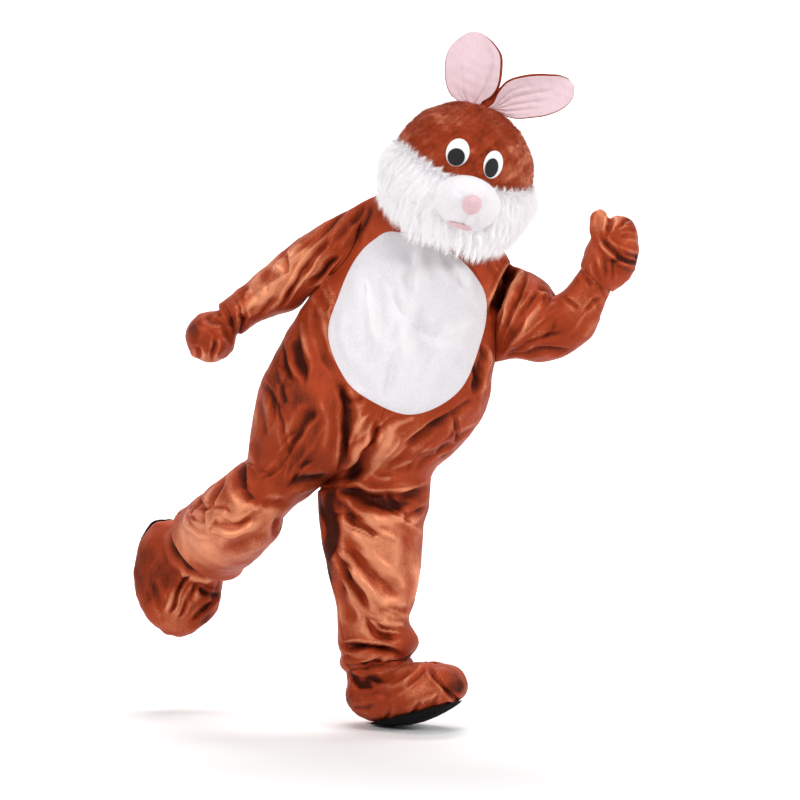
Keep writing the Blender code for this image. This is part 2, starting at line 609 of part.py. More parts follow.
def combine(body, operation, other):
    """Adds or cuts away the other body, which is then only a helper."""
    step = body.modifiers.new(operation.title(), "BOOLEAN")
    step.operation = operation
    step.solver = "EXACT"
    step.object = other
    other.hide_render = True
    other.display_type = "WIRE"


def closed_curve(points, count):
    """Points on a smooth closed curve through the given ones (Catmull-Rom)."""
    p = np.asarray(points, float)
    t = np.linspace(0, len(p), count, endpoint=False)
    k, f = t.astype(int), (t % 1)[:, None]
    a, b, c, d = (p[(k + i) % len(p)] for i in (-1, 0, 1, 2))
    return b + 0.5 * f * (c - a + f * (2 * a - 5 * b + 4 * c - d + f * (3 * (b - c) + d - a)))


def pod(name, sections, side, cell, around):
    """A closed bag whose sections are square to its path. A section with no width ends it in a point,
    and any other end is closed flat. Their widths lie as near as can be along side."""
    centres = np.array([[s.x, s.y, s.z] for s in sections])
    along = unit(np.gradient(centres, axis=0))
    across = unit(side - (along @ side)[:, None] * along)
    a = np.linspace(0, 2 * np.pi, around + 1)
    keys = []
    for s, centre, w, h in zip(sections, centres, across, np.cross(along, across)):
        keys.append(centre + np.outer(s.wide * np.cos(a), w) + np.outer(s.high * np.sin(a), h))
    rings = loft(np.array(keys), cell)
    caps = [np.broadcast_to(rings[i].mean(0), rings[i].shape) for i in (0, -1)]
    return body_of(name, [np.concatenate([[caps[0]], rings, [caps[1]]])])


def shrunk(sections, wall, mouth):
    """The hollow inside a pod: a wall thickness in from its outside, and out through its first end."""
    start, after, end, before = (np.array(sections[i][:3]) for i in (0, 1, -1, -2))
    rows = [s._replace(wide=max(s.wide - wall, 0), high=max(s.high - wall, 0)) for s in sections]
    rows[0] = rows[0]._replace(**dict(zip("xyz", start - mouth * unit(after - start))))
    rows[-1] = rows[-1]._replace(**dict(zip("xyz", end - wall * unit(end - before))))
    return rows


def half_space(name, point, up, size=BLOCK):
    """A block whose top face lies at the point, square to up."""
    across = unit(np.cross(up, [0, 1.0, 0.3]))
    ahead = np.cross(up, across)
    square = ((-1, -1), (1, -1), (1, 1), (-1, 1))
    corners = [point + size * (a * across + b * ahead - c * up) for c in (0, 1) for a, b in square]
    faces = [(0, 1, 2, 3), (7, 6, 5, 4), (4, 5, 1, 0), (5, 6, 2, 1), (6, 7, 3, 2), (7, 4, 0, 3)]
    return make(name, corners, faces)


def grown(sections, by):
    """A pod's sections with its whole outside moved out."""
    rows = [s._replace(wide=s.wide + by * (s.wide > 0), high=s.high + by * (s.high > 0)) for s in sections]
    for end, near in ((0, 1), (-1, -2)):
        place = np.array(rows[end][:3]) + by * unit(np.array(rows[end][:3]) - np.array(rows[near][:3]))
        rows[end] = rows[end]._replace(**dict(zip("xyz", place)))
    return rows


def head_axes():
    """The head's own side, front and up directions."""
    roll, turn = np.radians([HEAD_ROLL, HEAD_TURN])
    up = np.array([np.sin(roll), 0, np.cos(roll)])
    face = np.array([np.sin(turn), -np.cos(turn), 0])
    face = unit(face - (face @ up) * up)
    return np.array([np.cross(up, face), face, up])


def on_head(side, front, up):
    """Points in the head's own frame, whose +X is its left and -Y its face."""
    return np.stack(np.broadcast_arrays(side, -front, up), axis=-1)


def skull(azimuth, height, off):
    """Points at a distance off the head's outside, by azimuth from the face towards the wearer's left
    and by the height at which the outside itself is met."""
    wide, deep, high = (size + np.asarray(off) for size in SKULL)
    polar = np.arccos(np.clip((height - SKULL_RISE) / SKULL[2], -1, 1))
    a = np.radians(azimuth)
    side, front = wide * np.sin(polar) * np.sin(a), deep * np.sin(polar) * np.cos(a)
    return side, front, SKULL_RISE + high * np.cos(polar)


def along_table(table, x):
    return np.interp(x, *zip(*table))


def face_front(side, up, off):
    """How far forward the head's outside, moved out by off, stands at a place on the face."""
    wide, deep, high = SKULL + off
    rest = 1 - (side / wide) ** 2 - ((up - SKULL_RISE) / high) ** 2
    return deep * np.sqrt(np.clip(rest, 0.01, 1))


def crown(name, sign):
    a = np.linspace(min(sign, 0) * 180, max(sign, 0) * 180, 19)[None, :]
    low = along_table(FUR_LINE, np.abs(a))
    end = np.arccos((low - SKULL_RISE) / SKULL[2])
    share = np.linspace(0, 1, 8)[:, None]
    height = SKULL_RISE + SKULL[2] * np.cos(share * end)
    sheets = []
    for off in (0.0, -FOAM):
        side, front, up = skull(a, height, off)
        sheets.append(on_head(side + sign * SEAM / 2, front, up))
    return slab(name, *sheets)


def ruff(name):
    a = np.concatenate([[-FUR_END], np.arange(-110, 111, 10), [FUR_END]])[None, :]
    top = np.arccos((along_table(FUR_LINE, np.abs(a)) - SKULL_RISE) / SKULL[2]) + RUFF_GAP / SKULL[2]
    low = np.arccos((along_table(FUR_LOW, np.abs(a)) - SKULL_RISE) / SKULL[2])
    share = np.linspace(0, 1, 8)[:, None]
    height = SKULL_RISE + SKULL[2] * np.cos(top + share * (low - top))
    drop = along_table(FUR_DROP, np.abs(a)) * share**2
    ends = smooth((FUR_END - np.abs(a)) / FUR_TAPER)
    sheets = []
    for off in (FUR_EDGE + (FUR - FUR_EDGE) * smooth(share / FUR_RISE) * ends, -FOAM):
        side, front, up = skull(a, height, off)
        sheets.append(on_head(side, front, up - drop))
    return slab(name, *sheets)


def muzzle_front(side, up):
    rim = ((side - MUZZLE[0]) / MUZZLE[2]) ** 2 + ((up - MUZZLE[1]) / MUZZLE[3]) ** 2
    return face_front(side, up, MUZZLE_EDGE) + MUZZLE_BULGE * np.sqrt(np.clip(1 - rim, 0, 1))


def oval(x, z, wide, high, rings=4, around=16):
    """The places inside an oval, across and up, and their share of the way from its middle."""
    share = np.sin(np.linspace(0, np.pi / 2, rings + 1))[:, None]
    a = np.linspace(0, -2 * np.pi, around + 1)[None, :]
    return x + wide * share * np.cos(a), z + high * share * np.sin(a), share


def cap(name, side, up, front, back):
    """A body on the face, between a front and a back that are given at each place of an oval."""
    outer = on_head(side, front, up)
    inner = on_head(side, back, up)
    return body_of(name, [outer, inner[:, ::-1], np.stack([outer[-1], inner[-1]])])


def ear(name, sections, near, far, rim):
    """One layer of an ear, between two distances in front of its middle sheet."""
    centres = np.array([s[:3] for s in sections])
    along = unit(np.gradient(centres, axis=0))
    across = unit(np.cross([0, 1.0, 0], along))
    ahead = np.cross(across, along)
    w = np.linspace(-1, 1, 7)
    sheets = []
    for off in (far, near):
        keys = []
        for s, c, side, out in zip(sections, centres, across, ahead):
            lift = off + EAR_CUP * (s.wide / EAR_WIDEST) * w**2
            keys.append(c + np.outer(w * (s.wide + rim), side) + np.outer(lift, out))
        sheets.append(loft(np.array(keys), MITT_CELL))
    return slab(name, sheets[0][:, ::-1], sheets[1][:, ::-1])


def block(name, size, bottom=0.5):
    """A bevelled block, its width along X, thickness along Y and height along Z. The origin is its
    middle, or lies the given share of its height above its bottom end."""
    wide, high, thick = np.array(size) * METRES
    mesh = bpy.data.meshes.new(name)
    shape = bmesh.new()
    bmesh.ops.create_cube(shape, size=1)
    bmesh.ops.scale(shape, vec=(wide, thick, high), verts=shape.verts)
    bmesh.ops.translate(shape, vec=(0, 0, (0.5 - bottom) * high), verts=shape.verts)
    bmesh.ops.bevel(shape, geom=shape.edges[:], offset=thick * 0.2, segments=1, affect="EDGES")
    shape.to_mesh(mesh)
    shape.free()
    mesh.materials.append(material(name))
    body = bpy.data.objects.new(name, mesh)
    bpy.context.scene.collection.objects.link(body)
    return body


# ---------------------------------------------------------------- jumpsuit
for old in list(bpy.data.objects):
    bpy.data.objects.remove(old)

left = Limb(1, STANDING_SIDE, STANDING_OUT, STANDING_LEG)
right = Limb(-1, LIFTED_SIDE, LIFTED_OUT, LIFTED_LEG)
left.match(right)
cloth = Cloth()
for limb, side, arm, sleeve in (
    (left, "left", RAISED_ARM, "raised sleeve"),
    (right, "right", LOWERED_ARM, "lowered sleeve"),
):
    rows = limb.rows(GRID)
    hole = limb.armhole(rows)
    zipped = ZIP * (rows < HIPS)
    cloth.add(f"front_{side}", limb.panel(rows, 0 * rows, 0.5 - hole, COLUMNS), "body", limb is left)
    cloth.add(f"back_{side}", limb.panel(rows, 0.5 + hole, 1 - zipped, COLUMNS), "body", limb is left)
    upper = rows <= HIPS
    tape = limb.panel(rows[upper], 1 - zipped[upper], 0 * rows[upper] + 1, 1)
    cloth.add("zip_tape", tape, "body", limb is left)
    cloth.add(f"sleeve_{side}", sleeve_grid(limb, rows, arm, GRID), sleeve, limb is right, closed=True)
cloth.weld()
cloth.crease(FOLDS)
for name in np.unique(cloth.name):
    cloth.solid(str(name), cloth.tri[cloth.name == name], -VELOUR, 0)

# ---------------------------------------------------------------- tummy
outline = closed_curve(TUMMY, TUMMY_POINTS)
middle = outline.mean(0)
front = (cloth.name == "front_left") | (cloth.name == "front_right")
flat = cloth.p[cloth.tri][:, :, [0, 2]].mean(1)
reach = np.abs((flat - middle) / (np.ptp(outline, axis=0) / 2 + GRID)).max(1) < 1
tummy = cloth.solid("tummy", cloth.tri[front & reach], SEAM, PLUSH)
ends = [np.insert(outline, 1, y, axis=1) for y in TUMMY_DEPTH]
count = TUMMY_POINTS
around = [(i, (i + 1) % count, (i + 1) % count + count, i + count) for i in range(count)]
near_end, far_end = tuple(range(count))[::-1], tuple(range(count, 2 * count))
prism = make("tummy_outline", np.vstack(ends), [*around, near_end, far_end])
combine(tummy, "INTERSECT", prism)

# ---------------------------------------------------------------- mitts
for side, hand, thumb, across in (
    ("right", LOWERED_MITT, LOWERED_THUMB, LOWERED_ACROSS),
    ("left", RAISED_MITT, RAISED_THUMB, RAISED_ACROSS),
):
    mitt = pod(f"mitt_{side}", hand, across, MITT_CELL, MITT_SIDES)
    combine(mitt, "UNION", pod(f"thumb_{side}", thumb, across, THUMB_CELL, THUMB_SIDES))
    hollow = shrunk(hand, MITT_WALL, MOUTH)
    combine(mitt, "DIFFERENCE", pod(f"mitt_hollow_{side}", hollow, across, MITT_CELL, MITT_SIDES))
    hollow = shrunk(thumb, MITT_WALL, 0)
    combine(mitt, "DIFFERENCE", pod(f"thumb_hollow_{side}", hollow, across, THUMB_CELL, THUMB_SIDES))

# ---------------------------------------------------------------- boots
for side, foot, collar, (point, up), across in (
    ("left", STANDING_BOOT, STANDING_COLLAR, STANDING_SOLE, STANDING_ACROSS),
    ("right", LIFTED_BOOT, LIFTED_COLLAR, LIFTED_SOLE, LIFTED_ACROSS),
):
    up = unit(up)
    boot = pod(f"boot_{side}", foot, across, BOOT_CELL, BOOT_SIDES)
    if foot is STANDING_BOOT:
        rest = pod("trouser_end", TROUSER_END, STANDING_OUT, BOOT_CELL, TROUSER_SIDES)
        combine(boot, "DIFFERENCE", rest)
    collar_side = np.cross(np.array(collar[1][:3]) - np.array(collar[0][:3]), across)
    combine(boot, "UNION", pod(f"collar_{side}", collar, collar_side, BOOT_CELL, MITT_SIDES))
    hollow = shrunk(foot, BOOT_WALL, -BOOT_WALL)
    combine(boot, "DIFFERENCE", pod(f"boot_hollow_{side}", hollow, across, BOOT_CELL, BOOT_SIDES))
    neck = shrunk(collar[::-1], BOOT_WALL, MOUTH)[::-1]
    combine(boot, "DIFFERENCE", pod(f"neck_{side}", neck, collar_side, BOOT_CELL, MITT_SIDES))
    sole = pod(f"sole_{side}", grown(foot, SOLE), across, BOOT_CELL, BOOT_SIDES)
    inside = pod(f"sole_inside_{side}", grown(foot, SEAM), across, BOOT_CELL, BOOT_SIDES)
    combine(sole, "DIFFERENCE", inside)
    combine(sole, "INTERSECT", half_space(f"sole_edge_{side}", point, up))

# ---------------------------------------------------------------- head
head = bpy.data.objects.new("head", None)
bpy.context.scene.collection.objects.link(head)
side, face, up = head_axes()
head.matrix_world = Matrix((*zip(side, -face, up, HEAD * METRES), (0, 0, 0, 1)))
shells = [crown("crown_left", 1), crown("crown_right", -1), ruff("ruff")]
across, level, share = oval(*MUZZLE, 5, 20)
muzzle = cap("muzzle", across, level, muzzle_front(across, level), face_front(across, level, -FOAM))
grown_muzzle = (*MUZZLE[:2], MUZZLE[2] + SEAM, MUZZLE[3] + SEAM)
across, level, share = oval(*grown_muzzle, 3, 20)
ahead, behind = (face_front(across, level, off) for off in MUZZLE_HOLE)
hole = cap("muzzle_hole", across, level, ahead, behind)
for shell in shells:
    combine(shell, "DIFFERENCE", hole)
on_face = [muzzle, hole]
for pad in PADS:
    across, level, share = oval(pad.x, pad.z, pad.wide, pad.high)
    base = muzzle_front(across, level) if pad.on == "muzzle" else face_front(across, level, 0)
    dome = pad.over + pad.dome * np.sqrt(1 - share**2)
    on_face.append(cap(pad.name, across, level, base + dome, base + pad.under))
for body in shells + on_face:
    body.parent = head

# ---------------------------------------------------------------- ears
azimuth = np.linspace(-180, 180, 73)[None, :]
height = SKULL_RISE + SKULL[2] * np.cos(np.linspace(0, np.pi / 2, 19))[:, None]
side, front, up = skull(azimuth, height, SEAM)
dome = on_head(side, front, up)
floor = np.broadcast_to(dome[-1:].mean(1, keepdims=True), dome[-1:].shape)
skull_top = body_of("skull_top", [np.concatenate([dome, floor])[:, ::-1]])
skull_top.parent = head
for side, sections in (("right", UPRIGHT_EAR), ("left", FLOPPED_EAR)):
    layers = [
        ear(f"ear_front_{side}", sections, SEAM / 2, EAR_LAYER, 0.0),
        ear(f"ear_back_{side}", sections, -EAR_LAYER, -SEAM / 2, EAR_RIM),
    ]
    for layer in layers:
        combine(layer, "DIFFERENCE", skull_top)

# ---------------------------------------------------------------- zip
centre, below = left.points(np.array([NECK_TO_TIP, NECK_TO_TIP + 0.1]), np.array([1.0, 1.0]))
beside = left.points(np.array([NECK_TO_TIP]), np.array([1 - ZIP]))[0]
up = unit(centre - below)
across = unit(beside - centre)
across = unit(across - (across @ up) * up)
back = np.cross(up, across)
turn = Matrix(tuple(zip(across, back, up))).to_4x4()
slider = block("zip_slider", SLIDER)
middle = centre + (SLIDER_LIFT + SLIDER[2] / 2) * back
slider.matrix_world = Matrix.Translation(middle * METRES) @ turn
pull = block("zip_pull", PULL, bottom=PULL_HINGE)
hinge = centre + (SLIDER_LIFT + SLIDER[2] + SEAM + PULL[2] / 2) * back + HINGE_RISE * up
pull.matrix_world = Matrix.Translation(hinge * METRES) @ turn
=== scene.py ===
"""The looks of a rabbit costume: a velour jumpsuit with a white tummy, its mitts and boots, and a plush
head with a fur ruff, a face and two ears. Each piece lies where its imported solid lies, in one frame.
The tables are in centimetres, as a maker measures them, and each mesh is made in metres.
"""

from collections import namedtuple

import bpy
import numpy as np
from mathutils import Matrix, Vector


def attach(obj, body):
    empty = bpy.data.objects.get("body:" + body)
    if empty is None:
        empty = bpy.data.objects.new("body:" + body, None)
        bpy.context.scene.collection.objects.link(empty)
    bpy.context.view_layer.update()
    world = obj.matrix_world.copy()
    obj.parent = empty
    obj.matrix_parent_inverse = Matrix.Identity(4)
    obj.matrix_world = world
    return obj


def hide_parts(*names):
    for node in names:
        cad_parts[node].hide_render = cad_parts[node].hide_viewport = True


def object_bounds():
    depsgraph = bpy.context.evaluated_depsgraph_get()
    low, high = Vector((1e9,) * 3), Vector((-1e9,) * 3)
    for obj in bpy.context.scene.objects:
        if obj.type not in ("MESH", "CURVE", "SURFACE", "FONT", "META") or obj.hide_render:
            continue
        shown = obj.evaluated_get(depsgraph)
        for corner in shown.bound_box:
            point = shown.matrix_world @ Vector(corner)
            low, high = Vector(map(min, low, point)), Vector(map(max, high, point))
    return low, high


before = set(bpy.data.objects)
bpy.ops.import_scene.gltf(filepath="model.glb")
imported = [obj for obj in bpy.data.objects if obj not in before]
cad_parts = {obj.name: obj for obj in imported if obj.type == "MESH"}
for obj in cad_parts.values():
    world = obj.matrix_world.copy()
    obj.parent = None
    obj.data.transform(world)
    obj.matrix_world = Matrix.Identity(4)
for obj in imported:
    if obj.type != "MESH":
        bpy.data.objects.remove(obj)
cad_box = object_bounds()

# ---------------------------------------------------------------- jumpsuit panels
# Two fronts and two backs of short-pile velour, each cut in one with its trouser leg, joined at the
# sides, the inseams and the centre front, with a zip at the back. The cloth hangs from the shoulders
# over a padded wearer, so it bags at the belly and the knees and creases at the hips, groin and hems.
METRES = 0.01
CELL = 0.5  # length of a cell of the cloth
SPAN_SAMPLES = 13  # places round the sections where the way from one to the next is measured
FRONT_COLUMNS, BACK_COLUMNS = 88, 60
VELOUR = 0.25  # thickness of the pile fabric
Slant = namedtuple("Slant", "lift reach")
HEM_SLANT = Slant(7.0, 11.5)  # the lifted leg's hem rides up on its near side
# How far the last rows of each trouser leg stand out: the standing hem is drawn in, the lifted one flares
STANDING_HEM = (0.0, 0.3, 0.7, 1.0, 1.0, 0.7, 0.1, -0.4)
LIFTED_HEM = (0.0, 0.1, 0.2, 0.35, 0.5, 0.7, 0.85, 0.95)

# A section across the torso: its middle, half width, half depths and three angles in degrees.
Torso = namedtuple("Torso", "x y z wide front back roll pitch turn")
TORSO = (
    Torso(1.2, 1.0, 5.0, 9.5, 8.0, 8.0, 24, 14, 0),  # neckline
    Torso(-1.0, 2.0, 0.3, 19.8, 9.5, 9.5, 27, 12, 0),  # shoulder tips
    Torso(-6.0, 3.5, -12.5, 23.0, 14.0, 12.5, 23, 10, 3),
    Torso(-11.5, 5.5, -25.5, 26.0, 18.0, 15.0, 21, 8, 5),  # underarms
    Torso(-18.7, 7.5, -42.0, 29.8, 21.0, 16.5, 8, 5, 7),
    Torso(-21.8, 8.5, -50.5, 29.4, 21.0, 17.5, 3, 3, 8),
    Torso(-25.2, 9.5, -58.5, 27.3, 19.0, 18.0, 0, 0, 9),  # hips
)
SHOULDER, UNDERARM, HIPS = 1, 3, 6  # rows of TORSO
CROTCH = np.array([-33.3, 10.0, -67.5])
CROTCH_SHARE = 0.25  # share of the way round within which the centre lines bend under the crotch
CROTCH_SLOPE = -0.25
# A section across a leg: its middle, half width and depth, and how far the side seam is turned. Above
# them, the leg starts between the crotch and a point on the side of the hip, where outwards is stated.
Leg = namedtuple("Leg", "x y z wide deep turn")
STANDING_SIDE = np.array([-3.6, 10.0, -64.5])
STANDING_OUT = np.array([1.0, 0, 0])
STANDING_LEG = (
    Leg(-19.3, 9.5, -71.0, 14.9, 14.5, 5),
    Leg(-19.7, 8.5, -78.0, 13.8, 14.0, 10),
    Leg(-19.1, 8.0, -88.0, 12.6, 12.8, 18),
    Leg(-18.8, 9.0, -97.0, 10.7, 11.5, 26),
    Leg(-19.2, 10.0, -104.0, 9.7, 10.5, 32),
    Leg(-17.9, 10.0, -109.5, 10.7, 11.2, 34),
    Leg(-18.7, 10.0, -113.0, 9.1, 9.6, 36),
    Leg(-18.2, 9.5, -115.7, 8.5, 8.8, 36),
)
LIFTED_SIDE = np.array([-53.4, 10.0, -60.6])
LIFTED_OUT = np.array([-0.81, 0, 0.59])
LIFTED_LEG = (
    Leg(-48.9, 7.0, -68.4, 9.2, 12.5, 0),
    Leg(-52.3, 7.5, -73.0, 10.6, 11.5, 0),
    Leg(-57.4, 15.0, -77.8, 11.4, 11.0, 0),
    Leg(-61.2, 24.0, -80.9, 11.6, 10.6, 0),
    Leg(-65.0, 31.5, -84.0, 11.2, 9.8, 0),
)
HIP_DEPTH = 15.0  # half depth of a leg's top, level with the crotch
ARMHOLE = 0.15  # half width of an armhole, as a share of the way from centre front to centre back
ARMHOLE_POWER = 0.65  # its edge is a half sine to this power, which squares it off
ZIP = 0.011  # half width of the zip, as the same share


def unit(v):
    """Each vector over its own length."""
    v = np.asarray(v, float)
    return v / np.maximum(np.linalg.norm(v, axis=-1, keepdims=True), 1e-9)


def square_to(v, way):
    """The direction of v once its part along the way, a unit vector, is taken off."""
    return unit(v - (v * way).sum(-1, keepdims=True) * way)


def middles_of(sections):
    """The middles of a table's sections, a row each."""
    return np.array([[s.x, s.y, s.z] for s in sections])


def smooth(x):
    """0 below 0, 1 above 1, and an even slope between."""
    x = np.clip(x, 0, 1)
    return x * x * (3 - 2 * x)


def spans_of(keys):
    """The mean distance from each key ring to the next."""
    return np.linalg.norm(np.diff(keys, axis=0), axis=2).mean(1)


def slopes(keys, spans):
    """The slope at a key ring is that of the line from the one before to the one after, and at either
    end that of the line to its neighbour."""
    spans = spans[:, None, None]
    slope = np.empty_like(keys)
    slope[1:-1] = (keys[2:] - keys[:-2]) / (spans[1:] + spans[:-1])
    slope[0] = (keys[1] - keys[0]) / spans[0]
    slope[-1] = (keys[-1] - keys[-2]) / spans[-1]
    return slope


def cubic(f, one, other, leaving, arriving, span):
    """From one to other as f goes from 0 to 1, on the cubic that has the two slopes at its ends."""
    return (
        (1 + 2 * f) * (1 - f) ** 2 * one
        + f * (1 - f) ** 2 * span * leaving
        + f**2 * (3 - 2 * f) * other
        - f**2 * (1 - f) * span * arriving
    )


def steps(span, cell):
    """Shares of a span, at even steps of about a cell, up to its end."""
    count = max(1, int(round(span / cell)))
    return np.arange(1, count + 1) / count


def torso_ring(s, angle):
    """An ellipse about the section's middle, its width along the leaning shoulder line and its depth
    along the leaning front, at an angle in degrees from the centre front."""
    r, p, a = np.radians(s.roll), np.radians(s.pitch), np.radians(angle + s.turn)
    side = np.array([np.cos(r), 0, -np.sin(r)])
    front = np.cos(p) * np.array([0, -1.0, 0]) - np.sin(p) * np.array([np.sin(r), 0, np.cos(r)])
    depth = np.where(np.cos(a) > 0, s.front, s.back)
    ring = np.outer(s.wide * np.sin(a), side) + np.outer(depth * np.cos(a), front)
    return np.array([s.x, s.y, s.z]) + ring


class Half:
    """One half of the jumpsuit as a surface of two parameters. The row runs down through the torso's
    and the leg's sections. t runs from the centre front (0) over the side (0.5) to the centre back (1)
    and, below the crotch, from the inseam round to the inseam."""

    def __init__(self, sign, side_point, outward, legs):
        """The leg's path starts midway from the crotch to the side of the hip, and each of its sections
        has an outward and a forward direction square to it."""
        self.sign = sign
        self.middles = np.vstack([(CROTCH + side_point) / 2, middles_of(legs)])
        along = unit(np.gradient(self.middles, axis=0))
        self.out = square_to(outward, along)
        self.front = sign * np.cross(along, self.out)
        self.out[0] = unit(side_point - CROTCH)
        self.front[0] = np.array([0, -1.0, 0])
        self.wide = [np.linalg.norm(side_point - CROTCH) / 2] + [s.wide for s in legs]
        self.deep = [HIP_DEPTH] + [s.deep for s in legs]
        self.turn = [0] + [s.turn for s in legs]
        self.spans = spans_of(self.keys(np.linspace(0, 1, SPAN_SAMPLES)))

    def match(self, other):
        """Makes both halves' spans one down to the crotch, so that their centre lines are one."""
        mean = (self.spans[: len(TORSO)] + other.spans[: len(TORSO)]) / 2
        for half in (self, other):
            half.spans[: len(TORSO)] = mean
            half.level = np.concatenate([[0], np.cumsum(half.spans)])

    def keys(self, t):
        """Each section's own ring at t: an ellipse, or on the leg one turned about the leg."""
        rows = [torso_ring(s, self.sign * 180 * t) for s in TORSO]
        for i, middle in enumerate(self.middles):
            a = 2 * np.pi * t + np.radians(self.turn[i])
            ring = -np.outer(self.wide[i] * np.cos(a), self.out[i])
            rows.append(middle + ring + np.outer(self.deep[i] * np.sin(a), self.front[i]))
        return np.array(rows)

    def points(self, row, t):
        """A cubic through the sections at each t. At the crotch the centre lines run level."""
        keys = self.keys(t)
        arriving = slopes(keys, self.spans)
        leaving = arriving.copy()
        c = len(TORSO)
        down = unit(self.middles[1] - self.middles[0])
        for away, back in ((t, 1.0), (1 - t, -1.0)):
            near = smooth(1 - away / CROTCH_SHARE)[:, None]
            arriving[c] = arriving[c] * (1 - near) + near * unit([0, back, CROTCH_SLOPE])
            leaving[c] = leaving[c] * (1 - near) + near * down
        k = np.minimum(row.astype(int), len(keys) - 2)
        f = (row - k)[:, None]
        n = np.arange(len(t))
        turns = leaving[k, n], arriving[k + 1, n]
        return cubic(f, keys[k, n], keys[k + 1, n], *turns, self.spans[k][:, None])

    def rows(self):
        """Rows a cell apart, with every section among them."""
        return np.concatenate([[0.0]] + [k + steps(span, CELL) for k, span in enumerate(self.spans)])

    def armhole(self, row):
        """How far the armhole's edges stand from the side line: a half sine, squared off."""
        level = np.interp(row, np.arange(len(self.level)), self.level)
        q = (level - self.level[SHOULDER]) / (self.level[UNDERARM] - self.level[SHOULDER])
        return ARMHOLE * np.sin(np.pi * np.clip(q, 0, 1)) ** ARMHOLE_POWER

    def panel(self, rows, near, far, columns):
        """A grid of points between two edges, each given as t at every row."""
        t = near[:, None] + (far - near)[:, None] * np.linspace(0, 1, columns + 1)
        r = np.broadcast_to(rows[:, None], t.shape)
        return self.points(r.ravel(), t.ravel()).reshape(*t.shape, 3)


# A section across an arm: its middle, half height and depth, and its lean along the arm in degrees.
Sleeve = namedtuple("Sleeve", "x y z high deep lean")
LOWERED_ARM = (  # the wearer's right
    Sleeve(-37.8, 5.0, -10.2, 9.2, 8.8, 34),
    Sleeve(-43.6, 7.0, -14.4, 7.2, 7.4, 12),
    Sleeve(-48.0, 8.5, -16.9, 6.0, 6.4, 4),
    Sleeve(-52.4, 9.5, -19.5, 5.2, 5.6, 0),
    Sleeve(-57.3, 11.0, -22.9, 5.0, 5.2, 0),
)
RAISED_ARM = (  # the wearer's left
    Sleeve(21.8, 2.5, -23.2, 11.0, 9.5, 0),
    Sleeve(27.6, 0.5, -25.2, 9.0, 8.6, 0),
    Sleeve(32.4, -1.5, -23.2, 7.3, 7.6, 0),
    Sleeve(35.4, -3.5, -18.6, 5.7, 6.2, 0),
    Sleeve(38.0, -5.0, -14.0, 4.8, 5.0, 0),
    Sleeve(40.3, -6.2, -10.0, 4.5, 4.6, 0),
)


def loft(keys, cell):
    """Rings about a cell apart along a cubic through the key rings, point by point."""
    spans = spans_of(keys)
    slope = slopes(keys, spans)
    rings = [keys[:1]]
    for k, span in enumerate(spans):
        f = steps(span, cell)[:, None, None]
        rings.append(cubic(f, keys[k], keys[k + 1], slope[k], slope[k + 1], span))
    return np.concatenate(rings)


def sleeve_grid(half, rows, arm):
    """A sleeve's first ring is the armhole's own edge, and the others are ellipses across the arm."""
    inside = (rows >= SHOULDER - 1e-9) & (rows <= UNDERARM + 1e-9)
    edge_rows = rows[inside]
    hole = half.armhole(edge_rows)
    front = half.points(edge_rows, 0.5 - hole)
    back = half.points(edge_rows, 0.5 + hole)
    ring = np.vstack([front, back[-2:0:-1]])
    level = np.interp(edge_rows, np.arange(len(half.level)), half.level)
    share = np.pi * (level - level[0]) / (level[-1] - level[0])
    around = np.concatenate([share, 2 * np.pi - share[-2:0:-1]])
    middles = middles_of(arm)
    along = unit(np.gradient(np.vstack([ring.mean(0), middles]), axis=0))
    up = np.stack([-along[:, 2] * half.sign, 0 * along[:, 0], along[:, 0] * half.sign], axis=1)
    up = square_to(up, along)
    ahead = np.cross(along, up)
    ahead *= np.where(ahead[:, 1] > 0, -1, 1)[:, None]
    keys = [ring]
    for s, middle, u, a, on in zip(arm, middles, up[1:], ahead[1:], along[1:]):
        u = np.cos(np.radians(s.lean)) * u - np.sin(np.radians(s.lean)) * on
        keys.append(middle + np.outer(s.high * np.cos(around), u) + np.outer(s.deep * np.sin(around), a))
    return loft(np.array(keys), CELL)


WELD_DIGITS = 4  # points are one where they agree to so many decimals of a centimetre


def numbered(grid):
    """A number for each point of a grid, row by row."""
    return np.arange(grid.shape[0] * grid.shape[1]).reshape(grid.shape[:2])


class Cloth:
    """Sewn pieces that share their seam lines. Each is a grid of points, and a weld of all of them
    gives both sides of a seam one point and one normal, so that a fold runs on from piece to piece."""

    def __init__(self):
        self.grids, self.quads, self.points, self.count = {}, [], [], 0

    def add(self, name, grid, group, turned, wrap=False):
        """Takes a grid whose faces look outwards or, if turned, inwards."""
        index = self.count + numbered(grid)
        self.count += index.size
        self.grids[name] = (index, group, turned, wrap)
        self.points.append(grid.reshape(-1, 3))

    def weld(self):
        """Makes points that lie together one. Those that two pieces or more share are the seams."""
        points = np.vstack(self.points)
        near = np.round(points, WELD_DIGITS)
        _, first, same = np.unique(near, axis=0, return_index=True, return_inverse=True)
        same = same.reshape(-1)
        self.p = points[first]
        used = np.zeros(len(first))
        self.group = {}
        for name, (index, group, turned, wrap) in self.grids.items():
            index = same[index]
            self.grids[name] = (index, group, turned, wrap)
            self.quads.append(quads_of(index, turned, wrap))
            self.group.setdefault(group, np.zeros(len(first), bool))[index] = True
            np.add.at(used, np.unique(index), 1)
        self.quads = np.vstack(self.quads)
        self.seam = used > 1
        self.n = normals_of(self.p, self.quads)

    def push(self, shift):
        """Moves every point along its normal."""
        self.p = self.p + shift[:, None] * self.n
        self.n = normals_of(self.p, self.quads)


def quads_of(index, turned, wrap):
    """The quads of a grid of point numbers. A wrapped grid's last column joins its first."""
    if wrap:
        index = np.hstack([index, index[:, :1]])
    corners = [index[:-1, :-1], index[:-1, 1:], index[1:, 1:], index[1:, :-1]]
    return np.stack(corners[::-1] if turned else corners, axis=-1).reshape(-1, 4)


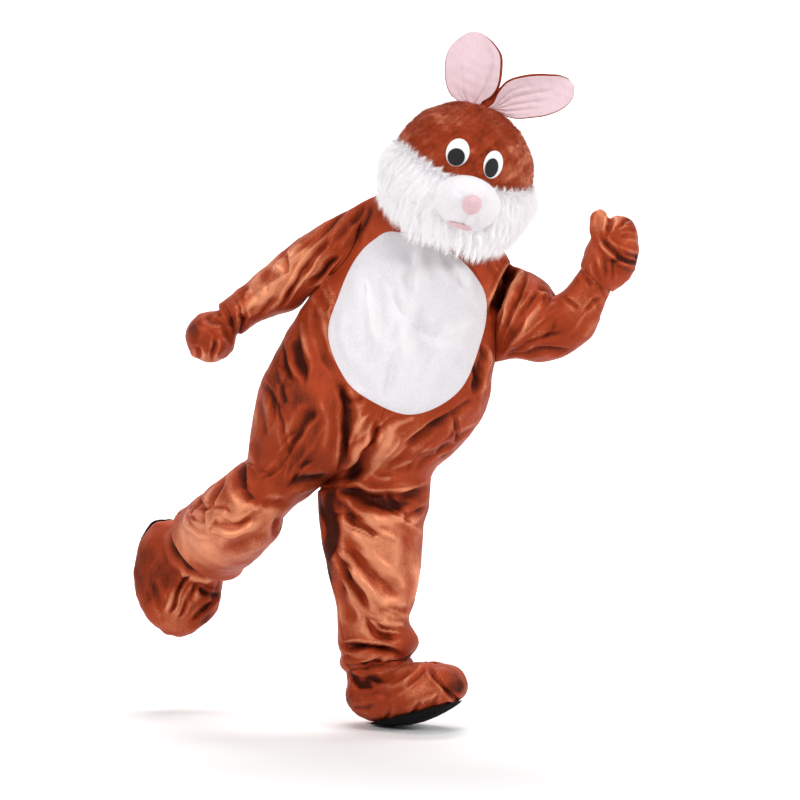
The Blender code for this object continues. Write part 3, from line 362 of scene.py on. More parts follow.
def normals_of(p, quads):
    """Each point's normal is the sum of its quads' own, which are the cross products of diagonals."""
    face = np.cross(p[quads[:, 2]] - p[quads[:, 0]], p[quads[:, 3]] - p[quads[:, 1]])
    total = np.stack([np.bincount(quads.ravel(), np.repeat(face[:, i], 4), len(p)) for i in range(3)], 1)
    return unit(total)


def eased(values, quads, turns):
    """Each value becomes the mean of the means of the quads round it, a number of times over."""
    values = np.asarray(values, float).reshape(len(values), -1)
    uses = np.bincount(quads.ravel(), minlength=len(values))[:, None]
    for _ in range(turns):
        mean = np.repeat(values[quads].mean(1), 4, axis=0)
        columns = [np.bincount(quads.ravel(), c, len(values)) for c in mean.T]
        values = np.stack(columns, axis=1) / uses
    return values


def ripple(p, size, seed, waves=7):
    """A soft random field from -1 to 1: a sum of sine waves in random directions, whose length is
    about the given size."""
    random = np.random.default_rng(seed)
    turns = unit(random.normal(size=(waves, 3))) * random.uniform(0.6, 1.6, (waves, 1)) / size
    phase = random.uniform(0, 2 * np.pi, waves)
    return np.sin(2 * np.pi * (p @ turns.T) + phase).sum(-1) / np.sqrt(waves)


Wave = namedtuple("Wave", "high size seed")


def waves(p, table):
    """The sum of a table's ripples, each times its height."""
    return sum(wave.high * ripple(p, wave.size, wave.seed) for wave in table)


# A fold is a trough with two soft lips (or a ridge, if its depth is negative) along a curved line on
# one group of pieces, seen from the front or the back: its ends, its middle, half width and depth. A
# steep fold falls off sharply on one side, to the left of the way it runs (1) or to the right (-1).
Fold = namedtuple("Fold", "x0 z0 xm zm x1 z1 wide deep steep", defaults=(0,))
BODY_FRONT = (
    # from the neck over the wearer's right hip
    Fold(-19.5, 7.5, -21.5, 2.0, -25.5, -5.5, 0.8, 0.6, -1),
    Fold(-29.0, -11.5, -31.5, -13.0, -33.0, -16.0, 1.0, -0.7),
    Fold(-34.0, -15.5, -32.5, -19.0, -30.5, -22.0, 1.0, 0.8),
    Fold(-35.5, -17.0, -33.5, -28.0, -29.0, -40.0, 1.0, 0.8, -1),
    Fold(-29.0, -39.0, -26.0, -50.0, -28.5, -65.0, 1.2, 2.3, -1),
    Fold(-38.0, -23.0, -36.5, -28.0, -35.0, -35.0, 0.9, -1.0),
    Fold(-39.5, -26.5, -38.0, -33.0, -36.0, -40.5, 1.0, 1.4),
    Fold(-41.5, -28.0, -41.0, -32.0, -39.5, -37.5, 0.9, -0.9),
    Fold(-42.0, -31.0, -41.5, -35.5, -39.5, -40.0, 0.8, 0.9),
    Fold(-44.0, -36.0, -43.0, -38.0, -42.0, -41.0, 0.8, -0.8),
    Fold(-42.5, -40.0, -42.5, -43.0, -42.0, -46.0, 0.8, 0.8),
    Fold(-47.0, -41.0, -46.5, -45.0, -45.0, -49.0, 0.8, -0.8),
    Fold(-49.0, -44.0, -48.0, -50.0, -47.0, -55.0, 1.1, 0.7),
    Fold(-33.5, -47.0, -36.5, -51.0, -40.5, -57.5, 1.3, 1.3, 1),
    Fold(-51.0, -54.0, -51.0, -58.5, -49.5, -63.5, 1.0, -0.8),
    Fold(-42.0, -67.5, -36.5, -65.2, -29.5, -65.5, 1.2, 1.1),
    Fold(-33.0, -43.0, -31.0, -51.0, -32.0, -59.0, 1.6, -0.8),
    # belly, below the tummy
    Fold(-18.5, -48.0, -20.5, -57.5, -29.0, -66.5, 1.4, 2.0, -1),
    Fold(-20.0, -48.5, -24.0, -51.5, -25.0, -58.0, 1.1, -1.0),
    Fold(-18.0, -48.0, -17.0, -52.5, -18.5, -57.0, 0.8, -0.7),
    Fold(-27.0, -44.0, -24.0, -44.5, -21.0, -43.5, 0.8, 0.7),
    Fold(-26.0, -40.5, -25.0, -42.5, -22.0, -44.0, 0.8, -0.6),
    Fold(-11.5, -56.0, -6.5, -53.0, 3.0, -46.0, 0.9, 1.3, 1),
    Fold(-9.0, -57.5, -3.0, -55.5, 1.5, -49.0, 0.8, -0.8),
    Fold(1.5, -48.5, 2.5, -52.0, 3.0, -56.5, 0.7, 0.9),
    Fold(-15.5, -53.0, -12.0, -50.5, -8.0, -49.0, 1.0, -0.7),
    Fold(-20.5, -62.0, -17.0, -65.0, -14.5, -64.0, 1.0, -0.8),
    Fold(-14.5, -63.0, -11.5, -60.5, -8.0, -60.0, 0.9, -0.7),
    Fold(9.5, -30.0, 8.0, -36.5, 6.5, -43.5, 0.8, 1.0),
    Fold(11.0, -30.0, 10.0, -37.0, 7.5, -44.0, 0.7, -0.8),
    Fold(6.5, -44.0, 3.5, -46.5, 0.0, -50.0, 0.8, 0.7),
    Fold(-4.0, -61.0, 0.0, -56.5, 4.0, -51.0, 1.3, -0.6),
    # groin, where the belly hangs over the standing leg
    Fold(-29.0, -66.5, -16.0, -69.5, -4.0, -67.5, 1.5, 2.5, 1),
    Fold(-12.5, -69.5, -8.0, -68.0, -4.0, -66.5, 0.8, 0.8, 1),
    Fold(-24.0, -68.0, -14.5, -72.5, -7.0, -71.0, 1.6, 1.6),
    Fold(-29.0, -67.0, -23.0, -73.0, -14.0, -77.0, 0.9, -1.1),
    Fold(-27.0, -72.0, -21.5, -77.5, -16.5, -79.0, 1.4, 1.3),
    Fold(-12.0, -77.0, -9.0, -74.0, -5.0, -72.5, 1.0, 1.4),
    # standing leg
    Fold(-27.5, -79.0, -19.5, -90.0, -11.0, -95.5, 1.9, 1.9),
    Fold(-25.0, -86.0, -20.5, -92.5, -15.0, -97.5, 0.9, -0.8),
    Fold(-29.0, -84.0, -26.0, -90.0, -20.0, -101.5, 0.9, 1.7, -1),
    Fold(-21.0, -100.5, -17.5, -105.0, -11.0, -106.0, 0.9, 1.2, 1),
    Fold(-17.0, -97.5, -13.0, -99.5, -10.0, -99.0, 0.9, 0.7),
    Fold(-18.5, -100.0, -14.5, -102.5, -10.5, -103.0, 0.8, -0.6),
    Fold(-33.0, -66.0, -30.5, -76.0, -29.0, -83.0, 0.9, -0.8),
    Fold(-31.5, -71.0, -29.5, -79.0, -30.5, -87.0, 1.5, 1.2),
    Fold(-27.5, -90.5, -26.5, -97.5, -24.0, -103.5, 1.2, 0.9),
    Fold(-28.5, -109.0, -20.5, -108.7, -11.5, -111.5, 0.9, 3.2, 1),
    Fold(-25.0, -111.5, -19.0, -110.0, -14.0, -111.5, 0.7, -0.7),
    Fold(-16.5, -112.5, -12.0, -113.0, -8.0, -111.0, 0.8, 1.8, 1),
    Fold(-26.5, -115.0, -22.0, -115.5, -16.5, -114.0, 0.8, 0.9),
    Fold(-9.5, -87.0, -8.0, -92.0, -10.0, -99.0, 1.4, -0.6),
    Fold(-12.5, -79.0, -10.0, -84.0, -11.0, -90.0, 1.6, 0.5),
    # lifted leg
    Fold(-52.0, -60.5, -53.0, -67.0, -48.5, -70.5, 1.3, 2.2, 1),
    Fold(-55.0, -65.5, -52.5, -70.5, -47.0, -73.0, 1.0, -0.9),
    Fold(-48.5, -70.5, -45.0, -71.5, -42.0, -70.5, 1.1, 0.9),
    Fold(-57.5, -65.0, -60.0, -68.5, -61.5, -73.0, 0.9, 1.3, 1),
    Fold(-64.0, -70.0, -66.5, -73.0, -70.0, -74.0, 0.9, 1.2, 1),
    Fold(-64.0, -70.5, -64.0, -74.0, -63.5, -77.5, 0.9, 1.2, 1),
    Fold(-68.0, -75.0, -66.0, -76.5, -63.0, -77.5, 0.8, 0.9, -1),
    Fold(-62.0, -76.0, -55.5, -77.0, -49.0, -74.0, 1.0, 1.0),
    Fold(-61.5, -78.0, -55.0, -79.0, -47.0, -75.0, 0.9, -0.9),
    Fold(-70.5, -75.5, -67.5, -79.0, -61.5, -81.0, 1.0, -0.7),
    Fold(-59.5, -84.0, -53.0, -81.5, -46.0, -78.5, 1.6, 0.6),
    Fold(-43.5, -74.0, -45.0, -77.5, -44.0, -81.5, 1.0, 0.8),
    # armhole of the raised arm
    Fold(19.0, -8.5, 15.0, -14.5, 11.0, -24.0, 1.2, 2.5),
    Fold(21.5, -9.5, 17.5, -17.0, 14.5, -30.0, 0.8, -1.0),
)
UNDER_TUMMY = (
    Fold(0.5, -8.5, 3.0, -13.0, 2.0, -19.5, 1.4, 1.1),
    Fold(3.5, -10.0, 6.0, -14.0, 6.0, -20.0, 1.1, -1.0),
    Fold(-13.5, -17.0, -8.0, -26.5, 4.0, -30.5, 1.5, 1.5, -1),
    Fold(-16.5, -12.0, -13.5, -22.0, -15.5, -34.0, 1.1, 0.9),
    Fold(-20.5, -10.0, -19.5, -22.0, -21.0, -37.0, 1.3, 0.9, 1),
    Fold(-12.0, -30.0, -14.0, -37.0, -15.5, -44.5, 1.0, 0.8),
    Fold(-1.5, -22.0, -3.5, -31.0, -8.0, -42.0, 1.3, 0.9, -1),
    Fold(-26.0, -20.0, -26.5, -28.0, -23.5, -36.0, 1.3, -0.7),
    Fold(4.5, -24.0, 3.0, -30.0, -1.0, -37.0, 1.2, -0.8),
    Fold(-9.0, -6.0, -9.5, -12.0, -12.0, -18.0, 1.2, 0.9),
)
BODY_BACK = (
    Fold(-8.0, -8.0, -12.0, -24.0, -20.0, -38.0, 1.6, 1.6, 1),
    Fold(6.0, -20.0, 3.0, -34.0, -6.0, -46.0, 1.5, 1.5, -1),
    Fold(12.0, -6.0, 13.0, -17.0, 9.0, -29.0, 1.3, 1.7, 1),
    Fold(-34.0, -24.0, -38.0, -38.0, -36.0, -52.0, 1.4, 1.5, -1),
    Fold(-29.0, -10.0, -28.0, -22.0, -32.0, -33.0, 1.1, 1.2, 1),
    Fold(-23.0, -16.0, -21.0, -27.0, -25.0, -38.0, 1.0, -0.8),
    Fold(-17.0, -43.0, -24.0, -49.0, -34.0, -51.0, 1.3, 1.1),
    Fold(-1.0, -47.0, -7.0, -53.0, -16.0, -56.0, 1.2, 1.1),
    Fold(-46.0, -58.0, -28.0, -66.0, -8.0, -66.0, 1.8, 2.2, 1),
    Fold(-41.0, -56.0, -28.0, -61.0, -13.0, -61.0, 1.2, -0.9),
    Fold(-30.0, -74.0, -24.0, -84.0, -15.0, -90.0, 1.5, 1.8, -1),
    Fold(-10.0, -78.0, -15.0, -84.0, -24.0, -93.0, 1.1, 1.2, 1),
    Fold(-28.0, -97.0, -21.0, -102.0, -12.0, -102.0, 1.1, 1.3, 1),
    Fold(-28.0, -108.0, -19.0, -110.5, -11.0, -109.0, 1.0, 1.7, 1),
    Fold(-26.0, -112.0, -19.0, -113.5, -13.0, -112.5, 0.8, 1.0),
    Fold(-56.0, -72.0, -62.0, -78.0, -62.0, -86.0, 1.3, 1.6, 1),
    Fold(-52.0, -68.0, -57.0, -76.0, -55.0, -84.0, 1.1, 1.3, -1),
    Fold(-68.0, -76.0, -66.0, -81.0, -68.0, -86.0, 1.0, 1.2, 1),
)
LOWERED_SLEEVE_FRONT = (
    Fold(-24.5, 8.0, -34.0, -3.0, -49.0, -22.5, 0.8, 0.9, -1),
    Fold(-26.0, 6.5, -34.5, -2.0, -42.0, -9.5, 0.7, 0.7, -1),
    Fold(-28.5, 0.5, -36.0, -10.0, -44.0, -21.5, 0.8, 2.0, 1),
    Fold(-27.5, -7.0, -31.5, -10.5, -36.0, -15.5, 0.8, 1.5, 1),
    Fold(-42.5, -5.0, -41.5, -9.0, -42.0, -13.0, 1.0, 1.0, 1),
    Fold(-56.5, -18.0, -55.0, -22.0, -56.0, -27.0, 0.7, -0.8),
    Fold(-58.5, -19.0, -57.0, -23.0, -56.5, -27.0, 0.6, 0.9, 1),
    Fold(-52.5, -20.0, -53.5, -24.0, -55.0, -27.5, 0.7, 0.9),
    Fold(-52.0, -13.5, -53.5, -16.0, -54.0, -18.5, 0.7, 0.8),
    Fold(-49.0, -14.5, -46.0, -12.0, -43.0, -10.5, 1.2, 0.7),
    Fold(-54.5, -23.0, -50.5, -19.5, -46.5, -15.5, 1.4, -0.7),
    Fold(-21.0, 7.0, -23.0, 3.5, -25.0, 1.0, 0.9, 0.6),
    Fold(-23.0, 2.0, -25.5, -1.5, -27.5, -5.5, 1.2, -0.7),
)
LOWERED_SLEEVE_BACK = (
    Fold(-27.0, 3.0, -38.0, -8.0, -50.0, -17.0, 1.1, 1.5, 1),
    Fold(-30.0, -3.0, -37.0, -11.0, -45.0, -19.0, 0.9, 1.2, -1),
    Fold(-41.0, -6.0, -41.0, -10.5, -43.0, -15.0, 0.9, 1.1, 1),
    Fold(-56.0, -18.0, -55.0, -22.0, -56.0, -26.0, 0.7, 0.9, 1),
)
RAISED_SLEEVE_FRONT = (
    Fold(19.0, -8.5, 15.0, -14.5, 11.0, -24.0, 1.2, 2.5),
    Fold(18.6, -8.5, 16.6, -18.0, 12.6, -29.2, 0.6, -0.9),
    Fold(21.7, -11.0, 18.0, -19.5, 14.3, -29.2, 0.6, 1.0, 1),
    Fold(24.2, -16.5, 19.8, -21.5, 14.2, -32.0, 0.8, 1.3, -1),
    Fold(29.0, -18.0, 22.0, -19.5, 14.5, -32.6, 0.6, -0.8),
    Fold(20.5, -19.0, 23.0, -17.5, 26.0, -18.0, 0.7, -0.7),
    Fold(23.5, -15.5, 26.0, -17.0, 29.0, -17.0, 0.6, 0.6),
    Fold(14.8, -33.0, 21.2, -26.3, 30.2, -20.7, 0.5, -0.7),
    Fold(14.5, -33.4, 22.0, -29.0, 31.0, -26.0, 0.6, 0.5, 1),
    Fold(14.5, -33.6, 23.0, -31.5, 33.0, -31.8, 0.6, 0.8, 1),
    Fold(29.5, -18.0, 32.0, -19.5, 33.5, -22.0, 0.6, 0.7),
    Fold(34.5, -23.0, 37.5, -19.5, 40.5, -18.0, 0.6, 0.6),
    Fold(33.5, -28.0, 37.5, -25.5, 40.5, -21.0, 0.8, -0.5),
)
RAISED_SLEEVE_BACK = (
    Fold(33.0, -28.0, 26.0, -25.0, 18.0, -20.0, 1.2, 1.6, 1),
    Fold(34.0, -24.0, 27.0, -20.0, 21.0, -15.0, 1.0, 1.3, -1),
    Fold(18.0, -12.0, 15.0, -20.0, 15.0, -30.0, 1.1, 1.6),
    Fold(30.0, -16.0, 33.0, -19.0, 37.0, -20.0, 0.7, 1.0, 1),
)
FOLDS = {
    ("body", "front"): BODY_FRONT + UNDER_TUMMY,
    ("body", "back"): BODY_BACK,
    ("sleeve_right", "front"): LOWERED_SLEEVE_FRONT,
    ("sleeve_right", "back"): LOWERED_SLEEVE_BACK,
    ("sleeve_left", "front"): RAISED_SLEEVE_FRONT,
    ("sleeve_left", "back"): RAISED_SLEEVE_BACK,
}

# Smaller creases gather in zones: each zone's middle and half size, the direction its creases run, in
# degrees from level, how far that varies, and their count, usual length and usual depth.
Zone = namedtuple("Zone", "x z across up angle vary count long deep")
ZONES = {
    ("body", "front"): (
        Zone(-43, -40, 6, 12, -76, 9, 6, 13.0, 0.5),
        Zone(-31, -27, 3, 10, -72, 8, 5, 12.0, 0.4),
        Zone(-38, -60, 8, 6, 48, 16, 8, 11.0, 0.5),
        Zone(-20, -57, 7, 7, 58, 14, 8, 11.0, 0.5),
        Zone(-4, -56, 8, 5, 38, 14, 8, 12.0, 0.5),
        Zone(9, -38, 3, 10, -75, 10, 5, 11.0, 0.4),
        Zone(-17, -75, 9, 4, -28, 10, 6, 12.0, 0.6),
        Zone(-19, -90, 7, 8, -50, 12, 8, 13.0, 0.45),
        Zone(-15, -103, 5, 4, -30, 12, 8, 9.0, 0.5),
        Zone(-19, -112, 8, 3, -2, 8, 9, 8.0, 0.5),
        Zone(-60, -73, 9, 4, 24, 22, 9, 9.0, 0.5),
        Zone(14, -14, 3, 7, -70, 10, 4, 7.0, 0.4),
    ),
    ("body", "back"): (
        Zone(-12, -22, 16, 15, -75, 12, 11, 14.0, 0.5),
        Zone(-30, -42, 10, 10, -70, 12, 8, 12.0, 0.5),
        Zone(-26, -62, 16, 5, -5, 12, 9, 13.0, 0.5),
        Zone(-20, -84, 8, 10, -45, 16, 9, 12.0, 0.5),
        Zone(-19, -110, 8, 5, 0, 8, 9, 8.0, 0.5),
        Zone(-60, -78, 8, 7, 60, 16, 8, 9.0, 0.5),
    ),
    ("sleeve_right", "front"): (
        Zone(-35, -5, 8, 7, 49, 8, 8, 14.0, 0.4),
        Zone(-48, -17, 5, 4, 42, 12, 6, 8.0, 0.4),
        Zone(-56, -22, 3, 4, -78, 10, 7, 5.5, 0.4),
    ),
    ("sleeve_right", "back"): (Zone(-42, -10, 12, 8, 45, 12, 9, 11.0, 0.45),),
    ("sleeve_left", "front"): (
        Zone(18, -20, 3, 7, 64, 9, 5, 9.0, 0.45),
        Zone(27, -25, 6, 4, 38, 14, 6, 9.0, 0.4),
        Zone(38, -17, 4, 5, -60, 16, 6, 6.0, 0.4),
    ),
    ("sleeve_left", "back"): (Zone(26, -22, 9, 7, 30, 14, 8, 9.0, 0.45),),
}


CREASE_SEED = 14
LONG_SPREAD, DEEP_SPREAD = (0.5, 1.5), (0.5, 1.6)  # about the zone's usual length and depth
RIDGES, RIDGE_HEIGHT = 0.33, 0.8  # share of the creases that are ridges, and their height
CREASE_BOW = 0.09  # how far a crease bows, as a share of its length
CREASE_WIDE, WIDER_BY = 0.5, 0.012  # half width, and how much it grows with each centimetre of length


def scattered(zones, seed):
    """The zones' creases as folds: even random places in an oval, and turns, lengths and depths that
    vary about the zone's own. One in three is a ridge, and a longer crease is wider."""
    random = np.random.default_rng(seed)
    found = []
    for zone in zones:
        reach = np.sqrt(random.uniform(0, 1, zone.count))
        way = random.uniform(0, 2 * np.pi, zone.count)
        turn = np.radians(random.normal(zone.angle, zone.vary, zone.count))
        long = zone.long * random.uniform(*LONG_SPREAD, zone.count)
        deep = zone.deep * random.uniform(*DEEP_SPREAD, zone.count)
        deep = np.where(random.uniform(size=zone.count) < RIDGES, -RIDGE_HEIGHT * deep, deep)
        bow = random.normal(0, CREASE_BOW, zone.count) * long
        x, z = zone.x + zone.across * reach * np.cos(way), zone.z + zone.up * reach * np.sin(way)
        u, v = np.cos(turn) * long / 2, np.sin(turn) * long / 2
        steep = random.integers(-1, 2, zone.count)
        middle_x, middle_z = x - bow * np.sin(turn), z + bow * np.cos(turn)
        wide = CREASE_WIDE + WIDER_BY * long
        columns = (x - u, z - v, middle_x, middle_z, x + u, z + v, wide, deep, steep)
        found += [Fold(*row) for row in zip(*columns)]
    return found


FOLD_WAVE, FOLD_WANDER, FOLD_UNEVEN = 9.0, 0.3, 0.16  # a fold's line wanders, and its depth varies
FOLD_PIECES = 8  # straight pieces that stand for a fold's curve
TROUGH_POWER = 1.3  # how square its bell is
LIP_HIGH, LIP_AT, LIP_WIDE = 0.38, 2.0, 0.8  # as shares of the fold's depth and half width
CREST_WIDE, FLANK_WIDE, MOST_GLEAM = 0.5, 0.7, 1.6  # of the painted highlight and painted shade lines beside it


def fold_shift(p, n, face, folds):
    """For each fold, the distance to its curve across the view sets a bell-shaped trough with a lip on
    either side. It narrows and fades at both ends, and fades where the cloth turns from that view. Also
    gives the gleam: painted highlight lines along the lips or a ridge's crest, and painted shade lines
    beside them."""
    inside = np.flatnonzero(n[:, 1] * (-1 if face == "front" else 1) > 0)
    p, facing = p[inside], smooth(np.abs(n[inside, 1]) * 2.2)
    flat = p[:, [0, 2]]
    bend = np.stack([ripple(p, FOLD_WAVE, 1), ripple(p, FOLD_WAVE, 2)], axis=1)
    uneven = 1 + FOLD_UNEVEN * ripple(p, FOLD_WAVE, 3)
    q = np.linspace(0, 1, FOLD_PIECES + 1)[:, None]
    shift, gleam = np.zeros(len(n)), np.zeros(len(n))
    for f in folds:
        start, middle, end = np.array([f.x0, f.z0]), np.array([f.xm, f.zm]), np.array([f.x1, f.z1])
        corners = np.array([start, middle, end])
        room = 4 * f.wide + 2
        near = np.all((flat > corners.min(0) - room) & (flat < corners.max(0) + room), axis=1)
        own = flat[near] + FOLD_WANDER * bend[near]
        best, at, turn = np.full(len(own), 1e9), np.zeros(len(own)), np.zeros(len(own))
        line = (1 - q) ** 2 * start + 2 * q * (1 - q) * (2 * middle - (start + end) / 2) + q**2 * end
        for i, (a, b) in enumerate(zip(line[:-1], line[1:])):
            along = b - a
            s = np.clip((own - a) @ along / (along @ along), 0, 1)
            away = np.linalg.norm(own - a - s[:, None] * along, axis=1)
            closer = away < best
            at = np.where(closer, (i + s) / FOLD_PIECES, at)
            turn = np.where(closer, along[0] * (own - a)[:, 1] - along[1] * (own - a)[:, 0], turn)
            best = np.minimum(best, away)
        ends = smooth(at * 4) * smooth((1 - at) * 4)
        wide = f.wide * np.where(turn * f.steep > 0, 0.6, 1 + 0.4 * abs(f.steep)) * (0.6 + 0.4 * ends)
        x = best / wide
        lip = LIP_HIGH * np.exp(-(((x - LIP_AT) / LIP_WIDE) ** 2)) if f.deep > 0 else 0
        shape = np.exp(-(x**TROUGH_POWER)) - lip
        shift[inside[near]] -= f.deep * shape * ends * facing[near] * uneven[near]
        crest, flank = (1.8, 0.0) if f.deep > 0 else (0.0, 1.5)
        line = np.exp(-(((x - crest) / CREST_WIDE) ** 2)) - np.exp(-(((x - flank) / FLANK_WIDE) ** 2))
        gleam[inside[near]] += min(abs(f.deep), MOST_GLEAM) * line * ends * facing[near]
    return shift, gleam


# The pile lies one way down the costume. Whole areas are painted pale (painted highlight and sheen) or
# deep (painted shade): each area's middle, half size, turn in degrees, and how pale (1) it is.
Nap = namedtuple("Nap", "x z across up turn pale")
LIGHT_SHADE_AREAS = {
    "front": (
        Nap(-14.0, -88.0, 9.5, 15.0, 8, 0.75),  # shin of the standing leg
        Nap(-20.0, -100.0, 7.0, 7.0, 0, 0.35),
        Nap(-31.5, -80.0, 3.2, 14.0, -3, -0.9),
        Nap(-17.0, -72.0, 12.0, 3.6, -8, -0.75),  # under the belly: painted shade
        Nap(-61.0, -80.0, 17.0, 9.0, 25, 0.75),  # shin of the lifted leg
        Nap(-48.0, -66.0, 5.0, 4.0, 20, -0.35),
        Nap(-37.0, -60.0, 7.0, 6.0, 40, -0.35),
        Nap(-42.0, -42.0, 6.0, 12.0, 10, -0.35),
        Nap(-25.0, -53.0, 2.0, 12.0, 0, -0.35),
        Nap(-18.0, -55.0, 11.0, 6.5, 20, 0.50),
        Nap(-33.0, -22.0, 4.0, 9.0, 20, 0.20),
        Nap(-45.0, -13.0, 13.0, 4.6, 40, 0.95),  # lowered forearm
        Nap(-24.0, 4.0, 5.0, 6.0, 20, -0.30),
        Nap(-58.5, -25.0, 4.0, 4.0, 0, -0.25),
        Nap(20.0, -22.0, 3.5, 8.0, 20, 0.35),
        Nap(28.0, -29.0, 8.0, 3.5, 10, -0.10),
        Nap(36.5, -21.0, 4.0, 6.0, -35, 0.15),
        Nap(9.0, -40.0, 4.0, 12.0, 15, -0.20),
        Nap(-2.0, -57.0, 7.0, 4.5, 35, -0.25),
    ),
    "back": (
        Nap(-14.0, -20.0, 16.0, 15.0, 10, -0.25),
        Nap(-28.0, -48.0, 14.0, 9.0, 0, 0.35),
        Nap(-24.0, -66.0, 16.0, 4.0, 0, -0.7),
        Nap(-20.0, -92.0, 8.0, 12.0, 0, 0.45),
        Nap(-58.0, -78.0, 10.0, 7.0, 30, -0.3),
    ),
}
NAP_WANDER, NAP_WAVE = 1.6, 11.0  # how far the areas' edges wander
NAP_WAVES = (Wave(0.12, 14.0, 7), Wave(0.05, 5.0, 8))
NAP_EDGE = 1.5  # how sharply an area ends
DEPTH_SHADE, GLEAM_SHADE = 0.32, 0.36  # painted shade in a trough, and painted highlight on its lips


def painted_light_and_tone_of(p, n, shift, gleam, places):
    """How pale the pile is painted: a random tone, the areas' ovals of painted highlight and painted shade,
    each faded outwards and wandering, and painted highlights on the lips of folds and painted shade in
    their troughs."""
    x, z = (p[:, i] + NAP_WANDER * ripple(p, NAP_WAVE, seed) for i, seed in ((0, 5), (2, 6)))
    pale = waves(p, NAP_WAVES)
    for face, light_areas in places.items():
        facing = smooth(0.5 + n[:, 1] * (-1.5 if face == "front" else 1.5))
        for nap in light_areas:
            c, s = np.cos(np.radians(nap.turn)), np.sin(np.radians(nap.turn))
            across, up = (x - nap.x) * c + (z - nap.z) * s, (z - nap.z) * c - (x - nap.x) * s
            away = (across / nap.across) ** 2 + (up / nap.up) ** 2
            pale += nap.pale * facing * np.exp(-(away**NAP_EDGE))
    return np.clip(pale + DEPTH_SHADE * np.tanh(0.9 * shift) + GLEAM_SHADE * np.tanh(gleam), -1, 1)


def slanted(p, leg, slant):
    """Draws the near side of a leg's end up along the leg, by up to the slant at its very edge: the
    share grows evenly over the last centimetres and from the leg's middle to its near side."""
    before, end = middles_of(leg[-2:])
    along = unit(end - before)
    past = (p - end) @ along
    near = (end[1] + past * along[1] - p[..., 1]) / leg[-1].deep
    share = smooth(1 + past / slant.reach) * np.clip(near, 0, 1)
    return p - slant.lift * share[..., None] * along


TAPE_COLUMNS = 3  # of the zip's tape, on either side of its middle
CLOTH_WAVES = (Wave(0.12, 7.0, 11), Wave(0.03, 3.0, 12))
SEAM_SUNK = 0.14
left = Half(1, STANDING_SIDE, STANDING_OUT, STANDING_LEG)
right = Half(-1, LIFTED_SIDE, LIFTED_OUT, LIFTED_LEG)
left.match(right)
cloth = Cloth()
for half, side, arm in ((left, "left", RAISED_ARM), (right, "right", LOWERED_ARM)):
    rows = half.rows()
    hole = half.armhole(rows)
    zipped = ZIP * (rows < HIPS)
    for cut, edges in (
        ("front", (0 * rows, 0.5 - hole, FRONT_COLUMNS)),
        ("back", (0.5 + hole, 1 - zipped, BACK_COLUMNS)),
    ):
        grid = half.panel(rows, *edges)
        grid = slanted(grid, LIFTED_LEG, HEM_SLANT) if half is right else grid
        cloth.add(f"{cut}_{side}", grid, "body", half is left)
    upper = rows <= HIPS
    tape = half.panel(rows[upper], 1 - zipped[upper], 0 * rows[upper] + 1, TAPE_COLUMNS)
    cloth.add(f"zip_tape_{side}", tape, "body", half is left)
    grid = sleeve_grid(half, rows, arm)
    cloth.add(f"sleeve_{side}", grid, f"sleeve_{side}", half is right, wrap=True)
cloth.weld()
hem = np.zeros(len(cloth.p))
for name, (index, *_) in cloth.grids.items():
    if name.startswith(("front", "back")):
        profile = STANDING_HEM if name.endswith("left") else LIFTED_HEM
        hem[index[-len(profile) :]] = np.array(profile)[:, None]
creased, gleam = np.zeros(len(cloth.p)), np.zeros(len(cloth.p))
for (group, face), folds in FOLDS.items():
    on = cloth.group[group]
    every = folds + tuple(scattered(ZONES[group, face], CREASE_SEED))
    own_shift, own_gleam = fold_shift(cloth.p[on], cloth.n[on], face, every)
    creased[on] += own_shift
    gleam[on] += own_gleam
# The nap value: painted highlight and painted shade in areas and along the folds, over a random tone.
pale = painted_light_and_tone_of(cloth.p, cloth.n, creased, gleam, LIGHT_SHADE_AREAS)
cloth.push(creased + hem)
cloth.push(waves(cloth.p, CLOTH_WAVES) - SEAM_SUNK * cloth.seam)


class Value:
    """One output of a shader node. Sums and products of values add the Math nodes that work them out."""

    def __init__(self, paint, socket):
        self.paint, self.socket = paint, socket

    def math(self, operation, *others):
        """A Math node over this value and others."""
        return self.paint.node("ShaderNodeMath", {"operation": operation}, dict(enumerate((self, *others))))

    def __add__(self, other):
        return self.math("ADD", other)

    def __sub__(self, other):
        return self.math("SUBTRACT", other)

    def __rsub__(self, other):
        return self.math("MULTIPLY_ADD", -1.0, other)

    def __mul__(self, other):
        return self.math("MULTIPLY", other)

    __radd__, __rmul__ = __add__, __mul__

    def between(self, low, high):
        """0 at low, 1 at high, with an even slope."""
        sockets = {"Value": self, "From Min": low, "From Max": high}
        settings = {"interpolation_type": "SMOOTHSTEP"}
        return self.paint.node("ShaderNodeMapRange", settings, sockets)


